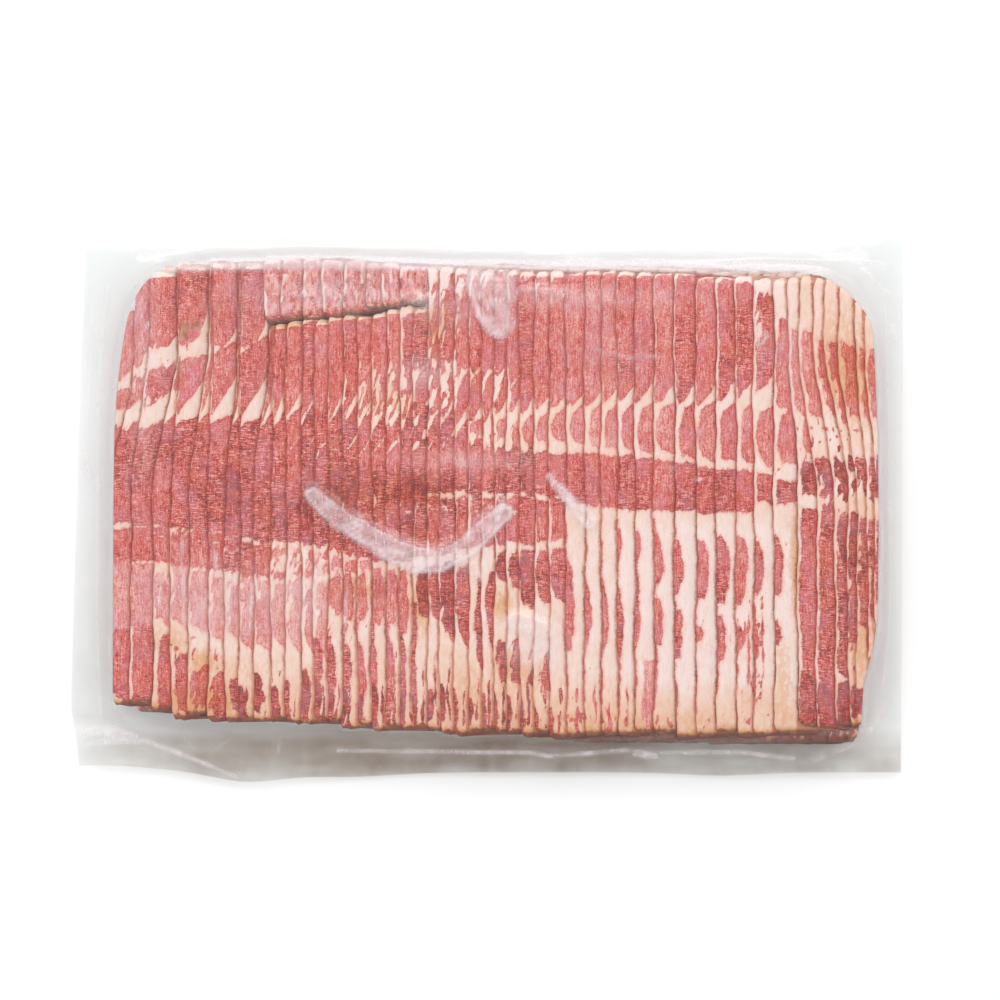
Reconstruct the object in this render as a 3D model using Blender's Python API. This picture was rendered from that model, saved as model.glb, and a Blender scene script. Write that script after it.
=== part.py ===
"""Large vacuum pack of shingled bacon: one closed solid with a flat base.

Work is done in millimetres and scaled to metres when the mesh is made.
X runs along the pack, Y runs along the slices, Z is up.
"""
import math

import bmesh
import bpy

MM = 0.001

# Film outline, measured at the outer edge of the seal.
LEFT_X = -206.5
LEFT_LEAN = 0.0253
LEFT_CURL = 4.7
LEFT_CURL_START = -95.0
LEFT_CURL_RUN = 35.0
RIGHT_X = 207.4
RIGHT_LEAN = 0.0094
BACK_Y = 132.0
FRONT_Y = -133.0

# Slab of slices inside the film.
SLAB_LEFT = -189.0
SLAB_LEFT_TAPER = 12.0
SLAB_RIGHT = 196.0
SLAB_RIGHT_BOW = 0.0003
SLAB_BACK = 124.0
SLAB_FRONT = -120.0
SLAB_CORNER_POWER = 9.0
CREST_HEIGHT = 25.4
SHOULDER_RUN = 10.0
SHOULDER_POWER = 1.9

# Shingled slices, seen as low ridges along Y.
FIRST_EDGE = -177.0
LAST_EDGE = 184.5
RIDGE_HEIGHT = 1.5
RIDGE_STEP = 0.9
RIDGE_FADE = 9.0

# Seal flange round the slab.
FILM_THICKNESS = 0.9
ROOT_HEIGHT = 8.0
ROOT_HEIGHT_BACK = 9.0
EDGE_HEIGHT = 2.6
EDGE_WAVE = 1.1
BASE_INSET = 5.0
ROOT_OUTSET = 1.0

# Mesh density.
FLANGE_STEPS = (0.0, 0.38, 0.72)
WALL_STEPS = (0.0, 1.3, 3.2, 5.6)
END_ROWS = 4
END_RUN = 26.0
MIDDLE_ROWS = 12


def clamp(value, low=0.0, high=1.0):
    return max(low, min(high, value))


def smooth(value):
    t = clamp(value)
    return t * t * (3.0 - 2.0 * t)


def bump(distance, width):
    return math.exp(-(distance / width) ** 2)


def mix(a, b, t):
    return a + (b - a) * t


def keyed(value, keys):
    """Straight-line reading between a few (position, value) keys."""
    if value <= keys[0][0]:
        return keys[0][1]
    for (x0, v0), (x1, v1) in zip(keys, keys[1:]):
        if value <= x1:
            return mix(v0, v1, (value - x0) / (x1 - x0))
    return keys[-1][1]


def film_left(y):
    curl = LEFT_CURL * smooth((LEFT_CURL_START - y) / LEFT_CURL_RUN)
    return LEFT_X + LEFT_LEAN * y + curl


def film_right(y):
    return RIGHT_X + RIGHT_LEAN * y


def film_back(x):
    rise = 5.3 * smooth((x - 118.0) / 32.0)
    return BACK_Y + 2.2 * bump(x + 84.0, 45.0) - 2.0 * bump(x - 56.0, 75.0) + rise


def film_front(x):
    y = FRONT_Y + 3.5 * bump(x + 196.0, 40.0)
    y -= 4.6 * bump(x + 120.0, 24.0) + 2.2 * bump(x + 70.0, 30.0)
    return y - 1.6 * bump(x - 116.0, 26.0)


def slab_left(y):
    return SLAB_LEFT + SLAB_LEFT_TAPER * clamp((y - 20.0) / 100.0) ** 2


def slab_right(y):
    return SLAB_RIGHT - SLAB_RIGHT_BOW * y * y


def slab_back(x):
    return SLAB_BACK - 1.2 * bump(x - 40.0, 90.0)


def slab_front(x):
    return SLAB_FRONT - 1.6 * bump(x + 70.0, 40.0)


def slab_place(x, y):
    """Position in the slab's outline: each term is -1 to 1 from edge to edge."""
    left, right = slab_left(y), slab_right(y)
    front, back = slab_front(x), slab_back(x)
    a = (2.0 * x - left - right) / (right - left)
    b = (2.0 * y - front - back) / (back - front)
    return a, b, (right - left) * 0.5, (back - front) * 0.5


def slab_depth(x, y):
    """Distance inwards from the slab's rounded outline, negative outside it."""
    a, b, half_x, half_y = slab_place(x, y)
    n = SLAB_CORNER_POWER
    a, b = max(abs(a), 1e-6), max(abs(b), 1e-6)
    q = (a ** n + b ** n) ** (1.0 / n)
    slope = math.hypot((a / q) ** (n - 1.0) / half_x, (b / q) ** (n - 1.0) / half_y)
    return (1.0 - q) / slope


PITCH_KEYS = ((-190.0, 10.2), (-140.0, 8.8), (-104.0, 7.2), (-20.0, 7.6), (50.0, 9.4),
              (145.0, 10.4), (166.0, 8.0), (175.0, 5.0), (192.0, 4.0))
FAN_KEYS = ((-189.0, 12.0), (-160.0, 4.0), (-130.0, 0.0), (144.0, 0.0), (165.0, -9.0),
            (178.0, -11.5), (185.0, -7.0))


def ragged(k):
    """A repeatable uneven number from -1 to 1 for slice k."""
    value = math.sin(k * 12.9898 + 4.1) * 437.585
    return 2.0 * (value - math.floor(value)) - 1.0


def slice_edges():
    """Free edge of each slice at its front end and at its back end."""
    front = []
    x = FIRST_EDGE
    k = 0
    while x < LAST_EDGE:
        front.append(x)
        x += keyed(x, PITCH_KEYS) * (1.0 + 0.14 * ragged(k))
        k += 1
    edges = []
    for k, x in enumerate(front):
        back = x + keyed(x, FAN_KEYS)
        if x < -108.0 and k % 2 == 1 and k + 1 < len(front):
            following = front[k + 1] + keyed(front[k + 1], FAN_KEYS)
            back = mix(back, following, 0.62)
        edges.append((x, back))
    return edges


def edge_line(ends, y, k):
    t = smooth((y - 5.0) / 75.0)
    wave = 0.35 * math.sin(y * 0.045 + 2.1 * k)
    return mix(ends[0], ends[1], t) + wave


def crest_height(x, y):
    dome = 1.0 - 0.5 * ((x - 3.0) / 190.0) ** 4 - 0.4 * (y / 120.0) ** 4
    lumps = 0.35 * math.sin(x * 0.041 + 1.0) * math.cos(y * 0.052)
    return CREST_HEIGHT - 1.0 + dome + lumps


def root_height(x, y):
    return mix(ROOT_HEIGHT, ROOT_HEIGHT_BACK, smooth((y + 60.0) / 150.0))


def flange_height(x, y):
    """Film beyond the slab: it droops from the root to the outer edge."""
    a, b, half_x, half_y = slab_place(x, y)
    out_x = (abs(a) - 1.0) * half_x / 15.0
    out_y = (abs(b) - 1.0) * half_y / 14.0
    t = clamp(math.hypot(max(out_x, 0.0), max(out_y, 0.0)))
    wave = math.sin(x * 0.043 + 0.6) + 0.6 * math.sin(y * 0.061 + x * 0.012)
    edge = EDGE_HEIGHT + EDGE_WAVE * wave * 0.6
    return mix(root_height(x, y), edge, 1.0 - (1.0 - t) ** 1.5)


def top_height(x, y, ridge):
    depth = slab_depth(x, y)
    if depth <= 0.0:
        return flange_height(x, y)
    rise = 1.0 - (1.0 - clamp(depth / SHOULDER_RUN)) ** SHOULDER_POWER
    root = root_height(x, y)
    height = root + (crest_height(x, y) - root) * rise
    return height + ridge * RIDGE_HEIGHT * smooth(depth / RIDGE_FADE)


def column_lines():
    """One function of y for each mesh column, with its ridge sign."""
    lines = []
    for t in FLANGE_STEPS:
        lines.append((lambda y, t=t: mix(film_left(y), slab_left(y), t), 0.0))
    for step in WALL_STEPS:
        lines.append((lambda y, s=step: slab_left(y) + s, 0.0))
    for k, ends in enumerate(slice_edges()):
        low = lambda y, e=ends, k=k: edge_line(e, y, k) - RIDGE_STEP * 0.5
        high = lambda y, e=ends, k=k: edge_line(e, y, k) + RIDGE_STEP * 0.5
        lines.append((low, -0.5))
        lines.append((high, 0.5))
    for step in reversed(WALL_STEPS):
        lines.append((lambda y, s=step: slab_right(y) - s, 0.0))
    for t in reversed(FLANGE_STEPS):
        lines.append((lambda y, t=t: mix(film_right(y), slab_right(y), t), 0.0))
    return lines


def row_lines():
    lines = []
    for t in FLANGE_STEPS:
        lines.append(lambda x, t=t: mix(film_front(x), slab_front(x), t))
    for step in WALL_STEPS:
        lines.append(lambda x, s=step: slab_front(x) + s)
    inset = SHOULDER_RUN
    for j in range(END_ROWS):
        step = inset + END_RUN * j / END_ROWS
        lines.append(lambda x, s=step: slab_front(x) + s)
    for j in range(MIDDLE_ROWS + 1):
        t = j / MIDDLE_ROWS
        near = inset + END_RUN
        lines.append(lambda x, t=t, n=near: mix(slab_front(x) + n, slab_back(x) - n, t))
    for j in reversed(range(END_ROWS)):
        step = inset + END_RUN * j / END_ROWS
        lines.append(lambda x, s=step: slab_back(x) - s)
    for step in reversed(WALL_STEPS):
        lines.append(lambda x, s=step: slab_back(x) - s)
    for t in reversed(FLANGE_STEPS):
        lines.append(lambda x, t=t: mix(film_back(x), slab_back(x), t))
    return lines


def top_grid():
    """Grid of (x, y, z) over the whole pack, in rows from front to back."""
    columns = column_lines()
    rows = row_lines()
    grid = []
    for row in rows:
        line = []
        for column, ridge in columns:
            x = column(row(column(0.0)))
            y = row(x)
            x = column(y)
            line.append((x, y, top_height(x, y, ridge)))
        grid.append(line)
    return grid


def rim_order(rows, columns):
    """Grid places round the rim, anticlockwise seen from above."""
    rim = [(0, i) for i in range(columns)]
    rim += [(j, columns - 1) for j in range(1, rows)]
    rim += [(rows - 1, i) for i in range(columns - 2, -1, -1)]
    rim += [(j, 0) for j in range(rows - 2, 0, -1)]
    return rim


def slab_ring_point(x, y, inset):
    """Point of the slab's outline, moved in by inset, that faces a rim point."""
    half_x = (film_right(y) - film_left(y)) * 0.5
    half_y = (film_back(x) - film_front(x)) * 0.5
    a = (x - (film_right(y) + film_left(y)) * 0.5) / half_x
    b = (y - (film_back(x) + film_front(x)) * 0.5) / half_y
    n = SLAB_CORNER_POWER
    scale = (abs(a) ** n + abs(b) ** n) ** (-1.0 / n)
    a, b = a * scale, b * scale
    for _ in range(3):
        left, right = slab_left(y) + inset, slab_right(y) - inset
        front, back = slab_front(x) + inset, slab_back(x) - inset
        x = (left + right) * 0.5 + a * (right - left) * 0.5
        y = (front + back) * 0.5 + b * (back - front) * 0.5
    return x, y


def build_mesh(name):
    grid = top_grid()
    rows, columns = len(grid), len(grid[0])
    xs = [p[0] for line in grid for p in line]
    ys = [p[1] for line in grid for p in line]
    mid_x = (min(xs) + max(xs)) * 0.5
    mid_y = (min(ys) + max(ys)) * 0.5
    mesh = bmesh.new()

    def add(x, y, z):
        return mesh.verts.new(((x - mid_x) * MM, (y - mid_y) * MM, z * MM))

    top = [[add(*point) for point in line] for line in grid]
    for j in range(rows - 1):
        for i in range(columns - 1):
            mesh.faces.new((top[j][i], top[j][i + 1], top[j + 1][i + 1], top[j + 1][i]))
    rim = rim_order(rows, columns)
    count = len(rim)
    upper = [top[j][i] for j, i in rim]
    lower, root, base = [], [], []
    for j, i in rim:
        x, y, z = grid[j][i]
        lower.append(add(x, y, z - FILM_THICKNESS))
        rx, ry = slab_ring_point(x, y, -ROOT_OUTSET)
        root.append(add(rx, ry, flange_height(rx, ry) - FILM_THICKNESS))
        bx, by = slab_ring_point(x, y, BASE_INSET)
        base.append(add(bx, by, 0.0))
    for first, second in ((upper, lower), (lower, root), (root, base)):
        for n in range(count):
            m = (n + 1) % count
            mesh.faces.new((first[m], first[n], second[n], second[m]))
    mesh.faces.new(list(reversed(base)))
    bmesh.ops.triangulate(mesh, faces=[f for f in mesh.faces if len(f.verts) == 4])
    data = bpy.data.meshes.new(name)
    mesh.to_mesh(data)
    mesh.free()
    return data


def packed_bacon_material():
    material = bpy.data.materials.new("bacon_pack")
    material.use_nodes = True
    shader = material.node_tree.nodes["Principled BSDF"]
    shader.inputs["Base Color"].default_value = (0.60, 0.25, 0.22, 1.0)
    shader.inputs["Roughness"].default_value = 0.3
    return material


def main():
    for old in list(bpy.data.objects):
        bpy.data.objects.remove(old, do_unlink=True)
    data = build_mesh("vacuum_pack")
    data.materials.append(packed_bacon_material())
    for face in data.polygons:
        face.use_smooth = True
    pack = bpy.data.objects.new("vacuum_pack", data)
    bpy.context.scene.collection.objects.link(pack)


main()
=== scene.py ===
"""Large clear vacuum pack of shingled bacon slices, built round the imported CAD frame.

Work is done in millimetres in the CAD's layout and turned into metres as meshes are made.
X runs from slice to slice, Y along the slices, Z up.
"""

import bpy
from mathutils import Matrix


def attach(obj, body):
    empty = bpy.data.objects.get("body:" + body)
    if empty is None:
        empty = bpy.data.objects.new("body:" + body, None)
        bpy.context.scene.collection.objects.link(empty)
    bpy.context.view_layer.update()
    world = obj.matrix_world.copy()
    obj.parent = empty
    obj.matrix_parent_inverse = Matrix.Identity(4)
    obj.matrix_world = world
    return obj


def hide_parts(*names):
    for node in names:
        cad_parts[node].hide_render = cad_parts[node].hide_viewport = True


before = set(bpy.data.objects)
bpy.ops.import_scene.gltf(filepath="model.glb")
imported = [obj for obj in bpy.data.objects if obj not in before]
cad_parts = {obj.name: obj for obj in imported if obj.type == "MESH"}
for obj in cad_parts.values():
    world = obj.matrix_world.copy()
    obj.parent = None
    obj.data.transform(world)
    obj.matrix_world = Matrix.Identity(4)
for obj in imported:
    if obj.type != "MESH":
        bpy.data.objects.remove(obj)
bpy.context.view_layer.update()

import math

import bpy
import numpy as np
from mathutils import Vector

MM = 0.001
PACK = "vacuum_pack"
BODY = "root"

# ---- layout, as in the CAD
LEFT_X, LEFT_LEAN = -206.5, 0.0253
RIGHT_X, RIGHT_LEAN = 207.4, 0.0094
BACK_Y, FRONT_Y = 132.0, -133.0
# The film's left side curls in towards the front, and its back side rises at the right:
# (distance from the middle, run, depth).
LEFT_CURL = (95.0, 35.0, 4.7)
BACK_RISE = (118.0, 32.0, 5.3)
# Swells of the long sides of the film and of the slab: (middle in X, width, height).
BACK_SWELLS = ((-84.0, 45.0, 2.2), (56.0, 75.0, -2.0))
FRONT_SWELLS = ((-196.0, 40.0, 3.5), (-120.0, 24.0, -4.6), (-70.0, 30.0, -2.2), (116.0, 26.0, -1.6))
SLAB_LEFT, SLAB_RIGHT = -189.0, 196.0
SLAB_BACK, SLAB_FRONT = 124.0, -120.0
SLAB_BACK_SWELLS = ((40.0, 90.0, -1.2),)
SLAB_FRONT_SWELLS = ((-70.0, 40.0, -1.6),)
SLAB_LEFT_TAPER = (20.0, 100.0, 12.0)
SLAB_RIGHT_BOW = 0.0003
SLAB_CORNER_POWER = 9.0
# The meat's own corners are cut rounder than the slab: (start in Y, run, depth).
BACK_LEFT_CUT = (90.0, 28.0, 9.0)
BACK_RIGHT_CUT = (84.0, 38.0, 36.0)
FRONT_RIGHT_CUT = (52.0, 36.0, 5.5)
CREST_HEIGHT = 25.4
FIRST_EDGE, LAST_EDGE = -177.0, 184.5
ROOT_HEIGHT, ROOT_HEIGHT_BACK = 8.0, 9.0
EDGE_HEIGHT, EDGE_WAVE = 2.6, 0.66
# How far the film falls away from the slab's foot before it lies as a flange.
FALL_X, FALL_Y = 15.0, 14.0

# ---- slices
TILT = math.radians(19.5)
TILT_SINE, TILT_COSINE = math.sin(TILT), math.cos(TILT)
SLICE_WIDTH = 35.0
SHOWN_WIDTH = 12.0
LEAST_WIDTH = 1.5
# The pack's vacuum presses each slice flat near its free edge.
PRESS, PRESS_RUN = 0.8, 8.0
# Thickness of the first slice, share of the room that the others fill, and their limits.
FIRST_THICKNESS = 2.2
ROOM_FILLED = 0.9
THINNEST, THICKEST = 0.5, 2.8
CREST_SCATTER = 0.12
# Waves of a free edge: (height, turns in radians per millimetre).
EDGE_WAVES = ((0.42, 0.045), (0.34, 0.12), (0.20, 0.31), (0.10, 0.83))
EDGE_ROLL, EDGE_ROLL_RUN = 0.38, 0.9
EDGE_FACE = 0.75
SHADE_REACH = 4.0
MEAT_LEFT_GAP, MEAT_RIGHT_GAP = 3.2, 2.2
# A slice's two ends: round corners, droop, ragged cut and thin rim.
END_CORNER_FROM, END_CORNER_TO = 2.5, 6.0
FREE_RECESS, COVERED_RECESS = 0.6, 0.75
END_DROOP, END_DROOP_RUN = 1.5, 6.0
END_RAGGED, END_RAGGED_RUN = 0.9, 7.0
END_PINCH, END_PINCH_RUN = 0.15, 1.2
END_ZONE = 3.0
END_ROWS = (0.0, 0.35, 0.9, 1.8)
PALE_END = 2.2
BACK_TRIM = 3.0
BROWN_END, BROWN_TONE, BROWN_STAIN = 3.5, 0.92, 2.0
LEAST_HEIGHT = 0.3
NOTHING = -60.0
LEAN_RANGE = 8.0

# Slices cut off by the slab's left side, under the first whole one.
LEAD_EDGES = ((-213, -204), (-208, -196), (-197.5, -186), (-187, -175.5))
# Slices past the last whole one, squeezed against the slab's right side.
TAIL_EDGES = ((188.6, 182.6), (192, 187.6))
# Distance from one free edge to the next, and from its front end to its back end, along X.
PITCH_KEYS = ((-190, 10.2), (-140, 8.8), (-104, 7), (-44, 6.7), (8, 6.6), (30, 8.2), (50, 9.4), (145, 10.4),
              (166, 8), (175, 5), (192, 4))
PITCH_SCATTER = 0.14
FAN_KEYS = ((-189, 12), (-160, 4), (-130, 0), (144, 0), (165, -9), (178, -11.5), (185, -7))
FAN_FROM, FAN_RUN = 5.0, 75.0
# Left of here every second slice closes up to the next one at its back end.
PAIRS_LEFT_OF, PAIR_CLOSING = -108.0, 0.84
# Where the slices end, in Y along X, with the scatter of single ends.
ENDS_LEFT_MOST = -187.0
BACK_END_KEYS = ((-187, 96), (-176, 114), (-150, 120.5), (-120, 120.5), (-94, 123), (-69, 121.5), (-20, 118),
                 (25, 115.5), (55, 116.5), (110, 114), (145, 113), (158, 114), (168, 112.5), (178, 106),
                 (188, 95))
FRONT_END_KEYS = ((-187, -98), (-170, -101), (-157, -106), (-105, -106.5), (-69, -110), (-20, -113),
                  (20, -114.5), (130, -114.5), (155, -111.5), (168, -109.5), (185, -108.5), (188.6, -78),
                  (192, -64))
BACK_SCATTER, FRONT_SCATTER = (-0.9, 0.9), (-1.6, 1.6)

# Numbers of the slices that aren't in the upper layer, less one, and the seeds of the random draws.
LOWER_NUMBER, FLAP_NUMBER = 99, 199
UPPER_SEED, FLAP_SEED, LOWER_SEED = 77, 78, 79
SLICE_SEED, BELLY_SEED, PLAIN_SEED = 300, 1000, 5000

# The short ends at the back, and the slices that end in front of them.
FLAP_FROM, FLAP_TO = -110.0, -34.0
FLAP_LINE_KEYS = ((-114, 90.5), (-84, 93), (-50, 97), (-34, 99.5))
FLAP_GAP = 0.1
FLAP_PITCH, FLAP_PITCH_SCATTER = 10.0, 4.5
FLAP_RISE = 0.7
FLAPPED_TIP, FLAPPED_RUN = 3.2, 3.4
FLAPPED_SCATTER, FLAP_FRONT_SCATTER, FLAP_BACK_SCATTER = (-1.6, 1.2), (-1.8, 2.4), (-0.8, 0.8)

# The lower layer, which stays back from the slab's sides.
LOWER_CREST = 12.9
LOWER_FIRST_EDGE, LOWER_LAST_EDGE = -211.0, 186.0
LOWER_PITCH, LOWER_PITCH_SCATTER = 8.6, 0.16
LOWER_INSET = 1.3
LOWER_BEHIND = 4.5
LOWER_RECESS = 15.0
LOWER_RECESS_FROM, LOWER_RECESS_RUN = 38.0, 66.0
LOWER_TRIM, LOWER_TRIM_RUN = 13.0, 26.0
# Lean of the lower slices: its ends in Y and the fat left at the skin side.
UNDER_MUSCLES = ((-112, -74, 5.0), (-66, -38, 3.0), (-30, 8, 1.4), (18, 52, 3.2), (60, 78, 5.5), (84, 108, 2.6))

# Places round a slice's section: along the width, with the share of the thickness at both edges.
UPPER_TOP = (0.15, 0.45, 0.9, 1.5, 2.1, 2.8, 3.5, 4.2, 5, 5.8, 6.6, 7.4, 8.2, 9, 9.8, 10.6, 11.3, 12,
             15, 22, 34)
UPPER_UNDER = (34, 24, 10, 1)
LOWER_TOP = (0.15, 0.6, 1.6, 3, 5, 8, 12, 22, 34)
LOWER_UNDER = (34.2, 33, 31.8, 30.6, 29.4, 28.2, 27, 25.6, 23.8, 20, 12, 1)
FAR_EDGE = ((-0.3, 0.22), (0.0, 0.5), (-0.3, 0.78))
NEAR_EDGE = ((0.25, 0.93), (-0.15, 0.72), (-0.22, 0.45), (-0.06, 0.18))
UPPER_STEP, LOWER_STEP = 1.8, 3.0
# In the bake layout: the columns of the strip that shows, and its share of the area.
UPPER_SHOWN, LOWER_SHOWN = (0, 17), (12, 20)
UPPER_BANDS = 3
SHOWN_SHARE, USED_SHARE = 0.84, 0.99

# ---- film
FILM_GAP = 0.22
SEAL_GAP = 0.12
FILM_CLEARANCE = 0.05
MAP_STEP_X, MAP_STEP_Y = 0.3, 0.7
MAP_X = np.arange(-200.0, 206.0, MAP_STEP_X)
MAP_Y = np.arange(-128.0, 132.0, MAP_STEP_Y)
# Mesh steps along X and along Y: near the film's border, and inside it.
FILM_BORDER = 22.0
TOP_STEPS = (0.8, 0.93), (0.95, 1.5)
BOTTOM_STEPS = (1.6, 2.0), (1.8, 3.0)
# How many map cells in X and in Y the film keeps clear round the meat.
TOP_REACH, BOTTOM_REACH = (3, 2), (6, 4)
# Steepest wall of the film, and rounds of smoothing.
TOP_DRAPE, BOTTOM_DRAPE = (4.0, 5), (2.2, 8)
WALL_ROUNDS = 16
TAUT_ROUNDS = 40
TAUT_RISE = 0.9
# The flange starts just outside the slab's outline; at its sides the creases turn to run along Y.
FLANGE_FROM, FLANGE_RUN = 0.5, 3.0
FLANGE_RISE = 0.35
SIDE_CREASES_FROM, SIDE_CREASES_RUN = 184.0, 8.0

# Folds where the film stands off the meat: its line, half width at its start, middle and end,
# lift, painted whiteness of its glare, and painted highlight on its rims. Millimetres.
FOLDS = (
    (((-87, 5), (-74, -7), (-49, -21), (-37, -27), (-25, -28), (-12, -22), (-3, -13), (7, -4)),
     (3.2, 5.6, 3.8), 2.4, 0.84, 1.0),
    (((1, 110), (3, 98), (6, 91)), (11.0, 9.5, 7.0), 2.0, 0.74, 1.0),
    (((30, 14), (38, 5), (50, -8)), (0.8, 2.2, 3.2), 1.6, 1.0, 0.8),
    (((0, -9), (8, -3)), (2.2, 3.0, 2.2), 1.0, 1.0, 0.2),
    (((-20, 108), (25, 106), (36, 104)), (0.8, 1.4, 2.0), 0.6, 0.45, 0.3),
    (((-46, 104), (-30, 101)), (1.0, 1.5, 2.2), 0.6, 0.45, 0.3),
    (((54, 77), (70, 73), (86, 74)), (0.5, 0.7, 0.6), 0.4, 0.55, 0.2),
    (((13, -58), (28, -62)), (3.6, 4.0, 3.0), 1.6, 0.55, 0.4),
    (((32, -74), (33, -78)), (0.8, 0.8, 0.8), 0.4, 0.8, 0.0),
    (((90, 18), (94, 18)), (0.5, 0.5, 0.4), 0.3, 0.7, 0.0),
    (((103, 13), (106, 12)), (0.5, 0.5, 0.4), 0.3, 0.7, 0.0),
    (((134, 88), (139, 84), (135, 79)), (0.8, 0.8, 0.6), 0.4, 0.6, 0.0),
    (((-152, -16), (-151, -60)), (0.6, 0.7, 0.6), 0.5, 0.8, 0.0),
    (((-136, -18), (-135, -34)), (0.6, 0.7, 0.6), 0.5, 0.7, 0.0),
    (((-128, -33), (-129, -62)), (0.6, 0.8, 0.7), 0.5, 0.95, 0.0),
    (((-122, -37), (-117, -40), (-119, -65)), (0.5, 0.7, 0.6), 0.5, 0.8, 0.0),
    (((-163, -36), (-164, -52)), (1.4, 1.8, 1.4), 0.6, 0.42, 0.3),
    (((-70, -36), (-71, -62)), (0.5, 0.6, 0.5), 0.5, 0.6, 0.0),
    (((-93, 118), (-92, 98)), (0.6, 0.6, 0.6), 0.3, 0.4, 0.0),
    (((-204, -113), (-192, -112), (-176, -115)), (1.6, 2.8, 1.2), 0.8, 0.62, 0.1),
    (((-200, -119), (-188, -117), (-172, -118)), (1.0, 1.6, 0.8), 0.8, 0.6, 0.0),
    (((-172, -117), (-150, -125), (-127, -135)), (0.8, 1.0, 0.7), 0.8, 0.8, 0.0),
    (((-154, -113), (-146, -122)), (0.4, 0.4, 0.3), 0.5, 0.4, 0.0),
    (((-137, -122), (-127, -115)), (0.4, 0.4, 0.3), 0.5, 0.4, 0.0),
    (((-104, -115), (-105, -123)), (0.4, 0.4, 0.4), 0.5, 0.4, 0.0),
    (((-75, -122), (20, -123), (30, -125), (70, -122)), (0.7, 0.8, 0.9), 0.8, 0.95, 0.0),
    (((73, -123), (83, -125)), (1.5, 1.8, 1.5), 0.8, 0.95, 0.0),
    (((84, -123), (125, -123), (152, -126)), (0.7, 0.9, 0.9), 0.7, 0.9, 0.0),
    (((198, -100), (186, -117), (163, -126)), (1.5, 1.8, 1.8), 1.2, 0.3, 0.2),
    (((184, 124), (199, 121)), (0.8, 1.0, 1.2), 0.8, 0.7, 0.0),
    (((188, 118), (201, 107)), (1.5, 1.2, 0.8), 0.8, 0.4, 0.0),
    (((202, 91), (205, 84)), (1.2, 1.0, 0.8), 0.6, 0.5, 0.0),
    (((-203, 26), (-200, 14)), (1.2, 1.2, 1.0), 0.5, 0.5, 0.0),
    (((-192, 112), (-196, 60), (-196, -60), (-194, -104)), (0.6, 0.9, 0.6), 0.6, 0.34, 0.0),
    (((199, 104), (201, 40), (201, -50), (197, -92)), (0.6, 1.0, 0.6), 0.6, 0.34, 0.0),
    (((-199, 100), (-202, 30)), (0.4, 0.5, 0.4), 0.5, 0.30, 0.0),
    (((-20, -24), (-6, -33), (-4, -36)), (2.6, 3.4, 2.0), 1.2, 0.42, 0.3),
)
# Patches of painted sheen, the film's reflection over the meat: (x, y, half length in x and y, whiteness).
SHEEN_PATCHES = (
    (-76, 106, 32, 9, 0.42), (-33, 66, 11, 8, 0.40), (40, 103, 42, 6, 0.30), (-8, 22, 34, 6, 0.22),
    (-172, 90, 8, 26, 0.30), (-172, 40, 6, 30, 0.22), (20, -74, 12, 8, 0.30), (-90, -48, 6, 12, 0.30),
    (150, 74, 8, 20, 0.16), (60, 70, 30, 14, 0.10), (-128, -48, 40, 18, 0.26), (-120, 100, 30, 12, 0.10),
    (-24, 98, 20, 12, 0.22), (26, -70, 9, 9, 0.30), (-150, 70, 24, 10, 0.10),
)
# Painted light: whiteness of the back wall lit from behind, and where it starts.
BACK_WASH = 0.52
BACK_WASH_FROM, BACK_WASH_RUN = 114.5, 5.0
# Painted shade on the loose film, from its front to its back, then on the front wall and the back corners.
FILM_SHADE_KEYS = ((-131, 0.52), (-121, 0.42), (-110, 0.10), (0, 0.04), (110, 0.01), (132, 0.0))
WALL_SHADE, WALL_SHADE_FROM, WALL_SHADE_RUN = 0.5, 111.0, 8.0
CORNER_SHADE = 0.05
# Share of that painted shade along the front, from left to right.
FRONT_SHADE_FROM, FRONT_SHADE_RUN = 104.0, 8.0
FRONT_SHADE_KEYS = ((-209, 0.20), (-186, 0.34), (-165, 0.50), (-145, 0.66), (-112, 0.68), (-84, 0.82),
                    (0, 0.88), (70, 0.86), (92, 0.62), (130, 0.60), (160, 0.72), (209, 0.60))
FRONT_SHADE_STREAKS = 0.32
# Where the front film's painted shade turns to the meat's brown, as painted bounce light.
BOUNCE_FROM, BOUNCE_RUN = 100.0, 8.0

# ---- view
CAMERA_ELEVATION = 87.0
CAMERA_DISTANCE = 2.2
VIEW_CENTRE, VIEW_HEIGHT = (5.75, 3.0), 10.0
VIEW_WIDTH = 0.5
SENSOR_WIDTH = 36.0
KEY_PLACE, KEY_SIZE, KEY_POWER = (-0.1, 1.3, 1.4), (1.8, 0.9), 16.0
FLOOR_HALF, FLOOR_DROP = 4.0, 0.0004


def smooth(value):
    t = np.clip(value, 0.0, 1.0)
    return t * t * (3.0 - 2.0 * t)


def bump(distance, width):
    return np.exp(-((distance / width) ** 2))


def fading(distance, run):
    """1 at a distance of nought, falling to 0 at the run."""
    return np.clip(1.0 - distance / run, 0.0, 1.0)


def mix(a, b, t):
    return a + (b - a) * t


def keyed(value, keys):
    """Value read off a line through (place, value) keys."""
    return np.interp(value, *zip(*keys))


def value_noise(x, y, seed):
    """Smooth noise from -1 to 1 on a unit lattice, the same on every run."""
    table = np.random.default_rng(seed).uniform(-1.0, 1.0, (64, 64))
    x, y = np.broadcast_arrays(np.asarray(x, float), np.asarray(y, float))
    xi, yi = np.floor(x).astype(int), np.floor(y).astype(int)
    fx, fy = smooth(x - xi), smooth(y - yi)
    near = mix(table[yi % 64, xi % 64], table[yi % 64, (xi + 1) % 64], fx)
    far = mix(table[(yi + 1) % 64, xi % 64], table[(yi + 1) % 64, (xi + 1) % 64], fx)
    return mix(near, far, fy)


def layered(base, x, y, *layers):
    """A base with noise on top, in layers of (height, length in x, length in y, seed)."""
    for height, length_x, length_y, seed in layers:
        base = base + height * value_noise(x / length_x, y / length_y, seed)
    return base


def swelling(side, along, swells):
    """A straight side with low swells along it."""
    for middle, width, height in swells:
        side = side + height * bump(along - middle, width)
    return side


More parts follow.
